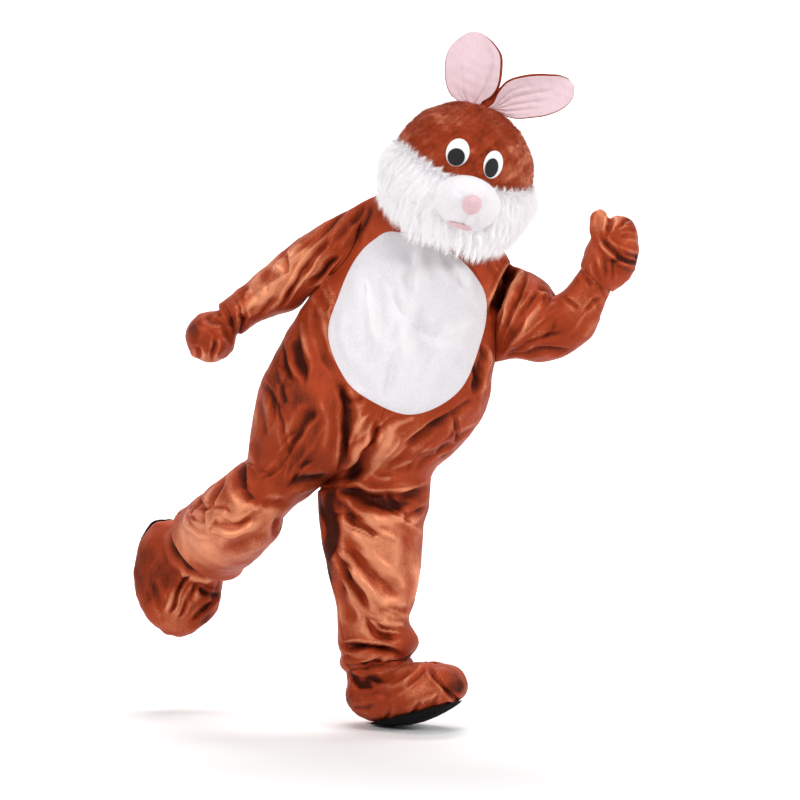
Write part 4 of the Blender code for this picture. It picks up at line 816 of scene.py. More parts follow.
class Paint:
    """A material and the nodes that work out its finish."""

    def __init__(self, name, **constants):
        self.material = bpy.data.materials.new(name)
        self.material.use_nodes = True
        self.tree = self.material.node_tree
        self.shader = self.tree.nodes["Principled BSDF"]
        for socket, value in constants.items():
            self.shader.inputs[socket.replace("_", " ")].default_value = value

    def node(self, kind, settings, sockets, output=0):
        """Adds a node: its settings first, then each socket's value or link."""
        made = self.tree.nodes.new(kind)
        for key, value in settings.items():
            setattr(made, key, value)
        for key, value in sockets.items():
            if isinstance(value, Value):
                self.tree.links.new(value.socket, made.inputs[key])
            else:
                made.inputs[key].default_value = value
        return Value(self, made.outputs[output])

    def place(self, stretch=(1.0, 1.0, 1.0), turn=(0.0, 0.0, 0.0), uv=False):
        """Where a pattern lies: object coordinates in metres, or the cloth's own, stretched."""
        own = self.node("ShaderNodeTexCoord", {}, {}, "UV" if uv else "Object")
        return self.node("ShaderNodeMapping", {}, {"Vector": own, "Scale": stretch, "Rotation": turn})

    def noise(self, scale, detail=2.0, at=None, rough=0.5):
        """A cloudy pattern from 0 to 1, finer as its scale grows."""
        sockets = {"Vector": at or self.place(), "Scale": scale, "Detail": detail, "Roughness": rough}
        return self.node("ShaderNodeTexNoise", {}, sockets)

    def blend(self, share, one, other):
        """A colour between two, by a share from 0 to 1."""
        sockets = {0: share, 6: one if isinstance(one, Value) else (*one, 1)}
        sockets[7] = other if isinstance(other, Value) else (*other, 1)
        return self.node("ShaderNodeMix", {"data_type": "RGBA"}, sockets, 2)

    def bump(self, height, depth, strength=1.0):
        """Raises the surface by the height times the depth, in metres."""
        sockets = {"Height": height, "Distance": depth, "Strength": strength}
        return self.node("ShaderNodeBump", {}, sockets)

    def nap(self):
        """The nap value laid at each point of a mesh: painted light and shade over a random tone."""
        return self.node("ShaderNodeAttribute", {"attribute_name": "nap"}, {}, "Fac")

    def feed(self, **values):
        """Links values to the shader's sockets, and gives the finished material."""
        for socket, value in values.items():
            self.tree.links.new(value.socket, self.shader.inputs[socket.replace("_", " ")])
        return self.material


def velour(name, deep, middle, bright, patches=7.0, pile=0.0010):
    """Pile fabric: its nap value, painted highlight and painted shade over a random tone, makes the colour
    pale and the gloss sharp, or both deep. Streaks follow the way it was stroked, and the pile's tips are
    a grain."""
    paint = Paint(name, Sheen_Weight=0.10, Sheen_Roughness=0.35, Sheen_Tint=(*bright, 1))
    paint.shader.inputs["Specular IOR Level"].default_value = 0.12
    brushed = paint.noise(patches, 4.0, rough=0.6)
    streaks = paint.noise(70.0, 5.0, paint.place((1, 1, 0.35), (0, 0.4, 0)), 0.7)
    tips = paint.noise(360.0, 3.0, rough=0.7)
    lift = 0.52 * paint.nap() + 0.24 * brushed + 0.22 * streaks + 0.20 * tips.between(0.25, 0.75) + 0.145
    half = paint.blend(lift.between(0.05, 0.5), deep, middle)
    return paint.feed(
        Base_Color=paint.blend(lift.between(0.5, 1.0), half, bright),
        Metallic=0.22 + 0.25 * lift,
        Roughness=0.56 - 0.14 * lift + 0.06 * tips,
        Normal=paint.bump(tips * 0.6 + streaks, pile, 0.8),
    )


# Velour colours: the middle is its own colour; deep carries painted shade and bright a painted highlight,
# as well as its random tone.
BROWN_DEEP, BROWN_MIDDLE, BROWN_BRIGHT = (0.050, 0.006, 0.002), (0.36, 0.046, 0.012), (0.78, 0.29, 0.15)
brown_velour = velour("velour", BROWN_DEEP, BROWN_MIDDLE, BROWN_BRIGHT)


def raw_body(name, points, faces):
    """Points in centimetres and faces, as a mesh and its object in the scene."""
    mesh = bpy.data.meshes.new(name)
    mesh.from_pydata((points * METRES).tolist(), [], faces)
    body = bpy.data.objects.new(name, mesh)
    bpy.context.scene.collection.objects.link(body)
    return body


def finished(body, material, thick=0.0, nap=None):
    """Makes a body a smooth piece of the costume: its material, the nap value at each of its points
    (painted light and shade over a random tone) and, if it is thick, a wall grown inwards."""
    mesh = body.data
    if nap is not None:
        values = mesh.attributes.new("nap", "FLOAT", "POINT").data
        values.foreach_set("value", nap.astype(np.float32).ravel())
    mesh.shade_smooth()
    mesh.materials.append(material)
    if thick:
        wall = body.modifiers.new("wall", "SOLIDIFY")
        wall.thickness = thick * METRES
        wall.offset = -1
    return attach(body, "costume")


def piece(name, grid, material, wrap=False, turned=False, thick=0.0, nap=None):
    """A shell over a grid of points in centimetres, with its own width and length in metres as its UV
    map, and a wall of the given thickness grown inwards. The nap is a value at each point, painted light
    and shade over a random tone."""
    quads = quads_of(numbered(grid), turned, wrap)
    body = raw_body(name, grid.reshape(-1, 3), quads.tolist())
    across = np.linalg.norm(np.diff(grid, axis=1, prepend=grid[:, :1]), axis=2).cumsum(1)
    down = np.linalg.norm(np.diff(grid, axis=0, prepend=grid[:1]), axis=2).mean(1).cumsum()
    flat = np.stack([across, np.broadcast_to(down[:, None], across.shape)], axis=-1).reshape(-1, 2)
    layer = body.data.uv_layers.new(name="cloth")
    layer.data.foreach_set("uv", (flat[quads.ravel()] * METRES).astype(np.float32).ravel())
    return finished(body, material, thick, nap)


Cut = namedtuple("Cut", "node wide long area")  # a piece as it is cut, in metres
CUTS = (
    Cut("front_left", 0.48, 1.45, 0.45),
    Cut("front_right", 0.48, 1.30, 0.38),
    Cut("back_left", 0.48, 1.45, 0.45),
    Cut("back_right", 0.48, 1.30, 0.38),
    Cut("sleeve_left", 0.62, 0.62, 0.25),
    Cut("sleeve_right", 0.62, 0.62, 0.20),
)
for cut in CUTS:
    index, group, turned, wrap = cloth.grids[cut.node]
    body = piece(f"{cut.node}_velour", cloth.p[index], brown_velour, wrap, turned, VELOUR, pale[index])
    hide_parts(cut.node)

# ---------------------------------------------------------------- zip
# A moulded zip closes the back from the neck to the hips. Its woven tape lies between the two backs,
# with two rows of teeth that mesh along its middle, and the metal slider and pull tab stand at the top.
TAPE_SINK = 0.12  # how far the tape lies below the velour's outside
Tooth = namedtuple("Tooth", "wide long high pitch")
TOOTH = Tooth(0.36, 0.17, 0.13, 0.22)
TEETH_START = 0.72  # just below the slider, as a share of the way from the neckline to the shoulder tips
TAPE_WALL = 0.1


def matt(name, scale, detail, dark, light, raised, edges=(0.3, 0.7), **constants):
    """Cloth with no nap. A fine pattern of fibres blends it from dark to light, between two edges if
    they are given, and raises it."""
    paint = Paint(name, **constants)
    fibre = paint.noise(scale, detail)
    tone = fibre.between(*edges) if edges else fibre
    return paint.feed(Base_Color=paint.blend(tone, dark, light), Normal=paint.bump(fibre, raised))


TAPE_DARK, TAPE_LIGHT = (0.10, 0.025, 0.010), (0.20, 0.055, 0.022)
zip_tape = matt("zip_tape", 2500.0, 1.0, TAPE_DARK, TAPE_LIGHT, 0.0003, Roughness=0.85)
one, other = (cloth.grids[f"zip_tape_{side}"][0] for side in ("left", "right"))
index = np.hstack([one, other[:, -2::-1]])
place = np.arange(2 * TAPE_COLUMNS + 1)
sunk = np.minimum(place, place[::-1]).clip(0, 1) * TAPE_SINK
tape_grid = cloth.p[index] - sunk[:, None] * cloth.n[index]
tape = piece("zip_tape_weave", tape_grid, zip_tape, turned=True, thick=TAPE_WALL)
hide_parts("zip_tape")


def teeth(name, line, out, tooth, material):
    """Blocks at even steps along a line, each turned with it, in two rows a little to either side."""
    far = np.linalg.norm(np.diff(line, axis=0, prepend=line[:1]), axis=1).cumsum()
    at = np.arange(far[0] + tooth.pitch, far[-1] - tooth.pitch, tooth.pitch)
    middle = np.stack([np.interp(at, far, line[:, i]) for i in range(3)], 1)
    out = unit(np.stack([np.interp(at, far, out[:, i]) for i in range(3)], 1))
    along = unit(np.gradient(middle, axis=0))
    across = np.cross(along, out)
    row = np.where(np.arange(len(at)) % 2, 1, -1)[:, None]
    middle = middle + 0.3 * tooth.wide * row * across + 0.5 * tooth.high * out
    corner = np.array([(i, j, k) for i in (-1, 1) for j in (-1, 1) for k in (-1, 1)]) / 2
    wide, long, high = (corner * (tooth.wide, tooth.long, tooth.high)).T[..., None]
    p = middle[:, None] + wide * across[:, None] + long * along[:, None] + high * out[:, None]
    box = np.array([(0, 1, 3, 2), (4, 6, 7, 5), (0, 4, 5, 1), (2, 3, 7, 6), (0, 2, 6, 4), (1, 5, 7, 3)])
    faces = (8 * np.arange(len(at))[:, None, None] + box).reshape(-1, 4)
    body = finished(raw_body(name, p.reshape(-1, 3), faces.tolist()), material)
    body.data.shade_flat()
    return body


def carried(node, material):
    """Gives a solid that stays as it is its material."""
    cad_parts[node].data.materials.clear()
    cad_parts[node].data.materials.append(material)


METAL_DARK, METAL_LIGHT = (0.32, 0.23, 0.12), (0.55, 0.42, 0.24)
metal_paint = Paint("zip_metal", Metallic=1.0)
rubbed = metal_paint.noise(300.0, 3.0)
metal_colour = metal_paint.blend(rubbed.between(0.3, 0.7), METAL_DARK, METAL_LIGHT)
zip_metal = metal_paint.feed(Base_Color=metal_colour, Roughness=0.42 - 0.2 * rubbed)
closed = rows[rows <= HIPS] > TEETH_START
line, out = tape_grid[closed, TAPE_COLUMNS], cloth.n[index[closed, TAPE_COLUMNS]]
zip_teeth = teeth("zip_teeth", line, out, TOOTH, zip_metal)
carried("zip_slider", zip_metal)
carried("zip_pull", zip_metal)

# ---------------------------------------------------------------- tummy
# A big egg of white plush, cut in one and sewn flat on both fronts. It follows the fronts' curve, with
# a few soft folds of its own down from the chin.
TUMMY = (  # its outline, as x and z, clockwise from the top
    (-13.0, -1.2), (0.5, -6.2), (8.6, -14.6), (10.2, -22.0), (8.2, -31.0), (4.2, -40.6), (-2.5, -46.2),
    (-10.5, -48.2), (-19.0, -45.0), (-26.0, -39.4), (-30.6, -28.0), (-28.0, -17.6), (-24.0, -8.6),
    (-19.0, -3.2),
)
TUMMY_EDGE, TUMMY_RISE = 0.05, 0.5  # how far its outside stands off the velour, at its edge and within
TUMMY_TROUGH = 0.4  # its deepest fold
TUMMY_WAVES, TUMMY_NAP_WAVES = (Wave(0.06, 3.6, 21),), (Wave(0.06, 6.0, 22),)
TUMMY_RINGS, TUMMY_ROUND, TUMMY_EASE = 50, 220, 10
TUMMY_FOLDS = (
    Fold(-0.3, -5.0, -6.5, -7.2, -8.5, -19.3, 1.3, -1.6),  # drawn up under the chin
    Fold(-0.3, -6.9, 1.1, -11.7, 5.5, -15.8, 0.9, 0.4),
    Fold(-3.0, -6.0, -4.2, -10.0, -2.5, -14.5, 1.1, 0.35),
    Fold(2.5, -8.5, 3.5, -12.0, 7.0, -15.5, 1.0, -0.9),
    Fold(-8.5, -18.0, -12.0, -25.7, -10.0, -36.0, 1.5, -1.1),
    Fold(-5.0, -19.0, -7.5, -27.0, -6.0, -35.0, 1.4, 0.3),
    Fold(-13.3, -33.4, -14.8, -39.0, -15.6, -45.0, 1.2, 0.3),
    Fold(-20.1, -12.5, -20.4, -21.0, -17.8, -31.3, 1.4, -0.9),
    Fold(-16.5, -10.0, -16.8, -18.0, -15.5, -27.0, 1.2, 0.3),
    Fold(8.0, -22.5, 1.0, -27.5, -3.7, -32.6, 1.2, -1.0),
)


def closed_curve(points, count):
    """Points on a smooth closed curve through the given ones (Catmull-Rom)."""
    p = np.asarray(points, float)
    t = np.linspace(0, len(p), count, endpoint=False)
    k, f = t.astype(int), (t % 1)[:, None]
    a, b, c, d = (p[(k + i) % len(p)] for i in (-1, 0, 1, 2))
    return b + 0.5 * f * (c - a + f * (2 * a - 5 * b + 4 * c - d + f * (3 * (b - c) + d - a)))


def plush(name, colour, shade, size=0.0016, sheen=0.35, rough=0.85):
    """Short dense pile: soft clumps a few millimetres wide, with painted shade in the gaps between them,
    and paler or darker by its nap value, painted shade and highlight over a random tone."""
    paint = Paint(name, Sheen_Weight=sheen, Sheen_Roughness=0.5, Sheen_Tint=(*colour, 1))
    clumps = paint.noise(260.0, 2.0)
    tips = paint.noise(1100.0, 2.0)
    patches = paint.noise(18.0, 2.0)
    depth = clumps * 0.6 + tips * 0.3 + patches * 0.1
    tone = paint.blend((depth + paint.nap() * 0.3).between(0.15, 0.75), shade, colour)
    bump = paint.bump(depth, size, 0.8)
    return paint.feed(Base_Color=tone, Roughness=rough + 0.1 * tips, Normal=bump)


def taken(body):
    """The points in centimetres and the quads of a body with its modifiers applied. The body goes."""
    mesh = bpy.data.meshes.new_from_object(body.evaluated_get(bpy.context.evaluated_depsgraph_get()))
    points = np.empty(len(mesh.vertices) * 3, np.float32)
    mesh.vertices.foreach_get("co", points)
    quads = np.empty(len(mesh.polygons) * 4, np.int32)
    mesh.polygons.foreach_get("vertices", quads)
    bpy.data.objects.remove(body)
    bpy.data.meshes.remove(mesh)
    return points.reshape(-1, 3).astype(float) / METRES, quads.reshape(-1, 4)


IN_FRONT = -60.0  # a depth in front of all the cloth


def from_front(places, guide):
    """Points on the guide at places across and up, seen from the front: each is carried back on to it
    by a Shrinkwrap along the depth."""
    body = raw_body("places", np.insert(places, 1, IN_FRONT, axis=1), [])
    wrap = body.modifiers.new("wrap", "SHRINKWRAP")
    wrap.wrap_method, wrap.target = "PROJECT", guide
    wrap.use_project_y, wrap.use_positive_direction = True, True
    return taken(body)[0]


fronts = [quads_of(cloth.grids[n][0], cloth.grids[n][2], False) for n in ("front_left", "front_right")]
guide = raw_body("fronts", cloth.p, np.vstack(fronts).tolist())
edge = closed_curve(TUMMY, TUMMY_ROUND)
centre = edge.mean(0)
reach = np.sin(np.linspace(0, np.pi / 2, TUMMY_RINGS + 1))[:, None]
places = centre + reach[:, :, None] * (edge - centre)
points = from_front(places.reshape(-1, 2), guide)
bpy.data.objects.remove(guide)
rings = quads_of(numbered(places), False, True)
soft = eased(points[:, 1], rings, TUMMY_EASE)[:, 0]  # plush hangs softer than the velour beneath it
soft = eased(np.minimum(soft, points[:, 1]), rings, 2)[:, 0]
hold = np.repeat(reach[:, 0] ** 20, TUMMY_ROUND)
points[:, 1] = points[:, 1] * hold + soft * (1 - hold)
points[:TUMMY_ROUND] = points[:TUMMY_ROUND].mean(0)
across = normals_of(points, rings)
across[:TUMMY_ROUND] = unit(across[TUMMY_ROUND : 2 * TUMMY_ROUND].mean(0))
shape = (len(reach), TUMMY_ROUND)
folded = fold_shift(points, across, "front", TUMMY_FOLDS)[0]
own = waves(points, TUMMY_WAVES) + np.maximum(folded, -TUMMY_TROUGH)
rise = TUMMY_EDGE + TUMMY_RISE * (1 - reach**14) + own.reshape(shape) * (1 - reach**8)
points = points.reshape(*shape, 3) + rise[..., None] * across.reshape(*shape, 3)
WHITE, WHITE_SHADE = (0.82, 0.79, 0.81), (0.65, 0.62, 0.65)
white_plush = plush("white_plush", WHITE, WHITE_SHADE)
# Painted shade in the troughs of the tummy's folds and painted highlight on its ridges, over a random tone.
fold_shade_and_tone = np.tanh(1.6 * folded + waves(points.reshape(-1, 3), TUMMY_NAP_WAVES))
tummy = piece("tummy_plush", points, white_plush, wrap=True, nap=fold_shade_and_tone)
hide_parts("tummy")

# ---------------------------------------------------------------- mitts
# Each mitt is a bag of the suit's velour with a thumb, drawn in at the wrist, where it goes up inside
# the sleeve or turns back over it.
Pod = namedtuple("Pod", "x y z wide high")  # a section across a bag: its middle and half sizes
LOWERED_MITT = (
    Pod(-55.6, 10.7, -22.0, 4.0, 4.1),
    Pod(-58.2, 11.1, -23.8, 4.2, 4.2),
    Pod(-61.2, 11.5, -26.4, 6.6, 6.2),
    Pod(-64.2, 11.5, -29.2, 6.4, 6.2),
    Pod(-66.4, 11.3, -31.3, 4.5, 4.6),
    Pod(-67.9, 11.0, -32.6, 0.0, 0.0),
)
LOWERED_THUMB = (
    Pod(-61.0, 9.0, -27.0, 2.0, 2.0),
    Pod(-59.6, 7.5, -29.6, 2.3, 2.3),
    Pod(-58.8, 7.0, -32.2, 0.0, 0.0),
)
RAISED_MITT = (
    Pod(38.5, -5.5, -13.4, 5.4, 5.6),
    Pod(41.2, -6.5, -9.9, 6.8, 6.4),
    Pod(42.8, -7.5, -5.8, 6.7, 6.0),
    Pod(44.1, -8.3, -1.6, 5.0, 4.8),
    Pod(43.9, -8.8, 1.3, 3.6, 3.6),
    Pod(43.7, -9.0, 3.2, 0.0, 0.0),
)
RAISED_THUMB = (
    Pod(41.0, -8.0, -5.5, 2.9, 2.9),
    Pod(39.2, -9.0, -1.2, 2.7, 2.8),
    Pod(38.9, -9.5, 2.2, 2.5, 2.5),
    Pod(39.1, -9.6, 4.0, 1.6, 1.6),
    Pod(39.2, -9.6, 4.7, 0.0, 0.0),
)
LOWERED_ACROSS = np.array([0.65, 0, -0.75])
RAISED_ACROSS = np.array([0.9, 0, -0.4])


def pod_grid(sections, side, cell, around):
    """Ellipses square to a path, joined by cubics, with each end drawn in to a point."""
    centres = middles_of(sections)
    along = unit(np.gradient(centres, axis=0))
    across = square_to(side, along)
    a = np.linspace(0, 2 * np.pi, around, endpoint=False)
    keys = []
    for s, middle, w, h in zip(sections, centres, across, np.cross(along, across)):
        keys.append(middle + np.outer(s.wide * np.cos(a), w) + np.outer(s.high * np.sin(a), h))
    rings = loft(np.array(keys), cell)
    ends = [np.broadcast_to(rings[i].mean(0), rings[i].shape) for i in (0, -1)]
    return np.concatenate([ends[:1], rings, ends[1:]])


SKIN_SMOOTHED = 14  # times over


def fused(name, pods, voxel):
    """One skin over several closed bags, as points in centimetres and quads."""
    starts = np.cumsum([0] + [grid[..., 0].size for grid in pods])
    quads = [quads_of(start + numbered(grid), False, True) for start, grid in zip(starts, pods)]
    points = np.vstack([grid.reshape(-1, 3) for grid in pods])
    body = raw_body(name, points, np.vstack(quads).tolist())
    skin = body.modifiers.new("skin", "REMESH")
    skin.mode = "VOXEL"
    skin.voxel_size = voxel * METRES
    soften = body.modifiers.new("soften", "SMOOTH")
    soften.iterations = SKIN_SMOOTHED
    soften.factor = 0.5
    return taken(body)


def skin_piece(name, p, quads, keep, material, thick, nap):
    """The skin's quads whose corners are all kept, as a piece with an open edge."""
    quads = quads[keep[quads].all(1)]
    used, local = np.unique(quads, return_inverse=True)
    body = raw_body(name, p[used], local.reshape(-1, 4).tolist())
    return finished(body, material, thick, nap[used])


def bag(name, pods, voxel, folds, table, light_areas):
    """A skin over the bags, how far its folds and ripples shift each point along its normal, and its nap
    value: painted light and shade over a random tone."""
    p, quads = fused(f"{name}_skin", pods, voxel)
    n = normals_of(p, quads)
    folded, gleam = fold_shift(p, n, "front", folds)
    folded += waves(p, table)
    return p, quads, n, folded, painted_light_and_tone_of(p, n, folded, gleam, light_areas)


LOWERED_MITT_FOLDS = (
    Fold(-63.5, -26.5, -61.5, -28.0, -62.5, -32.5, 0.5, -0.7),
    Fold(-61.5, -28.0, -61.0, -31.0, -63.0, -34.5, 0.5, 1.2),
    Fold(-65.7, -30.0, -65.5, -31.8, -65.5, -33.8, 0.7, 1.5),
    Fold(-67.5, -30.3, -66.0, -29.5, -64.2, -30.2, 0.4, -0.6),
    Fold(-67.3, -30.5, -67.6, -32.0, -66.5, -34.0, 0.4, -0.4),
    Fold(-64.0, -21.5, -62.3, -23.3, -58.5, -23.3, 0.8, 0.9),
    Fold(-67.0, -24.5, -63.5, -25.5, -60.5, -25.5, 0.8, -0.4),
    Fold(-60.0, -24.5, -58.0, -27.0, -57.5, -30.0, 0.7, 0.6),
)
RAISED_MITT_FOLDS = (
    Fold(38.0, -2.0, 42.5, -8.7, 50.0, -11.0, 0.5, -0.9),  # the gauntlet's lip
    Fold(38.8, -1.3, 43.2, -7.6, 49.5, -9.7, 0.5, 1.4),
    Fold(44.3, -6.8, 47.0, -8.0, 50.0, -7.5, 0.5, 1.5),
    Fold(41.3, -1.5, 43.0, -5.4, 49.0, -6.6, 0.5, -0.8),
    Fold(41.6, 4.5, 41.5, 1.0, 40.8, -2.5, 0.6, 1.2),
    Fold(42.3, -1.5, 45.0, 1.2, 48.0, 2.4, 0.5, 0.9),
    Fold(42.8, -3.3, 46.2, -2.7, 50.0, -3.9, 0.5, 0.8),
    Fold(43.2, -0.8, 46.5, -0.3, 49.8, -1.2, 0.5, -0.5),
    Fold(40.0, -6.5, 40.0, -10.5, 41.0, -14.5, 0.6, 0.7),
    Fold(41.8, -8.5, 41.8, -11.5, 42.5, -14.8, 0.5, 0.6),
    Fold(37.5, -8.0, 38.5, -11.5, 40.5, -15.5, 0.6, 0.5),
)
Glove = namedtuple("Glove", "side hand thumb across folds")
GLOVES = (
    Glove("right", LOWERED_MITT, LOWERED_THUMB, LOWERED_ACROSS, LOWERED_MITT_FOLDS),
    Glove("left", RAISED_MITT, RAISED_THUMB, RAISED_ACROSS, RAISED_MITT_FOLDS),
)
# Painted highlight and painted shade on the mitts, in areas.
MITT_LIGHT_SHADE_AREAS = {
    "front": (
        Nap(-67.0, -26.5, 3.5, 4.0, 0, -0.5),  # lowered mitt
        Nap(-63.5, -33.0, 5.0, 2.4, 20, 0.5),
        Nap(40.0, 2.0, 2.6, 3.0, 0, 0.45),  # raised mitt
        Nap(43.0, -11.5, 6.0, 3.0, 40, -0.3),
        Nap(46.5, -8.2, 3.6, 0.9, 5, -1.0),
        Nap(47.0, 1.5, 3.0, 2.5, 0, -0.45),
    ),
}
MITT_CELL, MITT_ROUND, MITT_VOXEL, MITT_WALL = 0.4, 64, 0.38, 0.2
MITT_WAVES = (Wave(0.12, 3.0, 31), Wave(0.04, 1.6, 32))
MITT_CUT = 0.15  # how far past its first section it is cut open
for glove in GLOVES:
    name = f"mitt_{glove.side}"
    pods = [pod_grid(s, glove.across, MITT_CELL, MITT_ROUND) for s in (glove.hand, glove.thumb)]
    p, quads, n, folded, pale = bag(name, pods, MITT_VOXEL, glove.folds, MITT_WAVES, MITT_LIGHT_SHADE_AREAS)
    p = eased(p + eased(folded, quads, 2) * n, quads, 2)
    start, after = middles_of(glove.hand[:2])
    hand = (p - start) @ unit(after - start) > MITT_CUT
    mitt = skin_piece(f"{name}_velour", p, quads, hand, brown_velour, MITT_WALL, pale)
    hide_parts(name)

# ---------------------------------------------------------------- boots
# A padded velour foot with a collar inside the trouser leg, and a thin black felt sole sewn beneath.
STANDING_BOOT = (  # heel to toe
    Pod(-25.6, 11.5, -122.4, 0.0, 0.0),
    Pod(-23.4, 10.2, -122.2, 6.4, 4.8),
    Pod(-18.0, 7.2, -122.9, 9.2, 6.6),
    Pod(-11.0, 2.8, -121.9, 10.6, 7.2),
    Pod(-4.5, -1.2, -119.4, 10.6, 7.0),
    Pod(0.5, -4.4, -118.2, 8.2, 5.0),
    Pod(2.8, -5.9, -117.4, 4.6, 3.0),
    Pod(3.6, -6.4, -117.1, 0.0, 0.0),
)
STANDING_COLLAR = (
    Pod(-17.9, 9.5, -122.0, 8.6, 8.4),
    Pod(-17.6, 9.9, -112.5, 8.9, 8.4),
)
LIFTED_BOOT = (
    Pod(-71.5, 46.5, -79.8, 0.0, 0.0),
    Pod(-72.3, 45.5, -82.0, 9.0, 5.6),
    Pod(-73.6, 43.5, -87.0, 12.0, 8.5),
    Pod(-74.4, 41.0, -94.0, 12.6, 8.8),
    Pod(-73.8, 39.0, -101.0, 11.6, 7.4),
    Pod(-73.4, 37.6, -106.0, 8.6, 5.2),
    Pod(-73.0, 37.0, -109.6, 3.6, 2.8),
    Pod(-72.6, 36.8, -110.8, 0.0, 0.0),
)
LIFTED_COLLAR = (
    Pod(-71.0, 40.0, -88.0, 9.8, 9.6),
    Pod(-62.5, 26.5, -81.8, 9.2, 8.6),
)
STANDING_ACROSS = np.array([0.45, 0.88, 0.0])
LIFTED_ACROSS = np.array([0.95, 0.3, 0.0])
STANDING_BOOT_FOLDS = (
    Fold(-5.0, -113.0, -1.0, -117.3, 4.5, -124.5, 0.5, 1.3, 1),  # toe cap's seam
    Fold(-10.8, -119.0, -8.5, -116.0, -5.0, -113.5, 0.4, 0.8),
    Fold(-27.0, -116.6, -22.0, -117.4, -16.0, -116.6, 0.5, 0.9),  # beneath the trouser's hem
    Fold(-20.0, -118.0, -14.0, -116.5, -9.0, -114.5, 0.8, 0.6),
    Fold(-24.5, -121.0, -17.0, -120.3, -10.0, -118.0, 0.7, 0.4),
    Fold(-12.0, -124.0, -6.0, -121.5, -1.0, -119.0, 0.8, -0.4),
    Fold(-26.0, -117.0, -22.0, -119.0, -18.0, -118.5, 0.7, 0.8),
    Fold(-10.0, -126.0, -8.0, -123.5, -7.0, -121.0, 0.5, 0.5),
    Fold(-4.0, -123.5, -3.0, -121.0, -2.5, -119.0, 0.5, 0.5),
    Fold(-16.0, -128.0, -15.0, -125.0, -14.5, -122.0, 0.5, 0.5),
    Fold(-24.5, -126.0, -21.5, -124.5, -18.0, -124.5, 0.7, 0.6),
)
LIFTED_BOOT_FOLDS = (
    Fold(-76.5, -80.0, -69.5, -90.5, -59.0, -92.5, 1.3, 1.5),  # beneath the trouser's hem
    Fold(-69.5, -91.5, -73.0, -97.5, -76.0, -104.5, 0.6, 1.3, 1),
    Fold(-68.5, -95.0, -71.0, -100.0, -74.0, -105.5, 0.6, 1.0),
    Fold(-71.5, -93.0, -74.5, -98.0, -77.5, -103.5, 0.7, -0.7),
    Fold(-69.5, -95.0, -66.0, -98.3, -62.0, -98.0, 0.7, 1.1, 1),
    Fold(-69.0, -95.5, -69.5, -98.0, -70.0, -101.5, 0.5, 0.8),
    Fold(-61.5, -97.5, -66.0, -103.0, -71.0, -106.5, 0.7, 0.9, 1),
    Fold(-67.0, -88.0, -64.0, -90.0, -60.5, -89.5, 0.6, 0.8),
    Fold(-66.0, -91.5, -63.0, -92.5, -60.0, -92.0, 0.6, 0.7),
    Fold(-68.0, -89.5, -66.0, -92.0, -65.0, -95.0, 0.6, -0.6),
    Fold(-82.0, -93.0, -79.0, -99.0, -77.5, -105.0, 0.9, 0.4),
)
Boot = namedtuple("Boot", "side foot collar across folds")
BOOTS = (
    Boot("left", STANDING_BOOT, STANDING_COLLAR, STANDING_ACROSS, STANDING_BOOT_FOLDS),
    Boot("right", LIFTED_BOOT, LIFTED_COLLAR, LIFTED_ACROSS, LIFTED_BOOT_FOLDS),
)
# Painted highlight and painted shade on the boots, in areas, and painted shadow beneath the hems.
BOOT_LIGHT_SHADE_AREAS = {
    "front": (
        Nap(-80.5, -92.0, 9.0, 11.0, 15, -0.40),  # lifted boot
        Nap(-75.0, -103.5, 6.0, 5.5, 30, 0.45),
        Nap(-67.0, -92.5, 4.0, 3.0, 0, 0.25),
        Nap(-66.3, -99.0, 3.2, 2.4, 0, -0.6),
        Nap(-67.0, -105.0, 4.0, 3.0, 0, -0.3),
        Nap(-70.4, -86.4, 4.5, 1.3, -55, -1.0),  # beneath the lifted hem: painted shadow
        Nap(-64.0, -91.0, 5.5, 1.4, -12, -1.0),
        Nap(-22.5, -122.0, 5.0, 4.0, 0, -0.30),  # standing boot
        Nap(-8.5, -118.5, 6.5, 3.6, -22, 0.40),
        Nap(2.0, -118.5, 2.6, 4.5, 30, -0.6),
        Nap(-22.5, -117.0, 5.0, 1.0, -3, -1.0),  # beneath the hem: painted shadow
    ),
}
BOOT_CELL, FOOT_ROUND, COLLAR_ROUND, BOOT_VOXEL, BOOT_WALL = 0.5, 96, 64, 0.6, 0.8
BOOT_WAVES = (Wave(0.16, 5.0, 41), Wave(0.05, 2.2, 42))
BOOT_CUT = 0.3  # how far short of its collar's end it is cut open
for boot in BOOTS:
    name = f"boot_{boot.side}"
    ankle, top = middles_of(boot.collar)
    pods = [
        pod_grid(boot.foot, boot.across, BOOT_CELL, FOOT_ROUND),
        pod_grid(boot.collar, np.cross(top - ankle, boot.across), BOOT_CELL, COLLAR_ROUND),
    ]
    p, quads, n, folded, pale = bag(name, pods, BOOT_VOXEL, boot.folds, BOOT_WAVES, BOOT_LIGHT_SHADE_AREAS)
    p = p + folded[:, None] * n
    upper = (top - p) @ unit(top - ankle) > BOOT_CUT
    body = skin_piece(f"{name}_velour", p, quads, upper, brown_velour, BOOT_WALL, pale)
    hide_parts(name)

# The lifted boot was made last, and its sole lies over the part of its skin beneath a plane.
SOLE_POINT, SOLE_UP = np.array([-76.5, 47.0, -92.0]), unit([0.3, -0.93, -0.2])
SOLE_OUT, SOLE_WALL = 0.55, 0.45
SOLE_DARK, SOLE_LIGHT = (0.002, 0.002, 0.002), (0.010, 0.009, 0.009)
DULL = {"Roughness": 0.95, "Specular_IOR_Level": 0.1}
sole_felt = matt("sole_felt", 900.0, 3.0, SOLE_DARK, SOLE_LIGHT, 0.0006, **DULL)
beneath = (p - SOLE_POINT) @ SOLE_UP < 0
sole = skin_piece("sole_right_felt", p + SOLE_OUT * n, quads, beneath, sole_felt, SOLE_WALL, pale)
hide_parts("sole_right")
carried("sole_left", sole_felt)

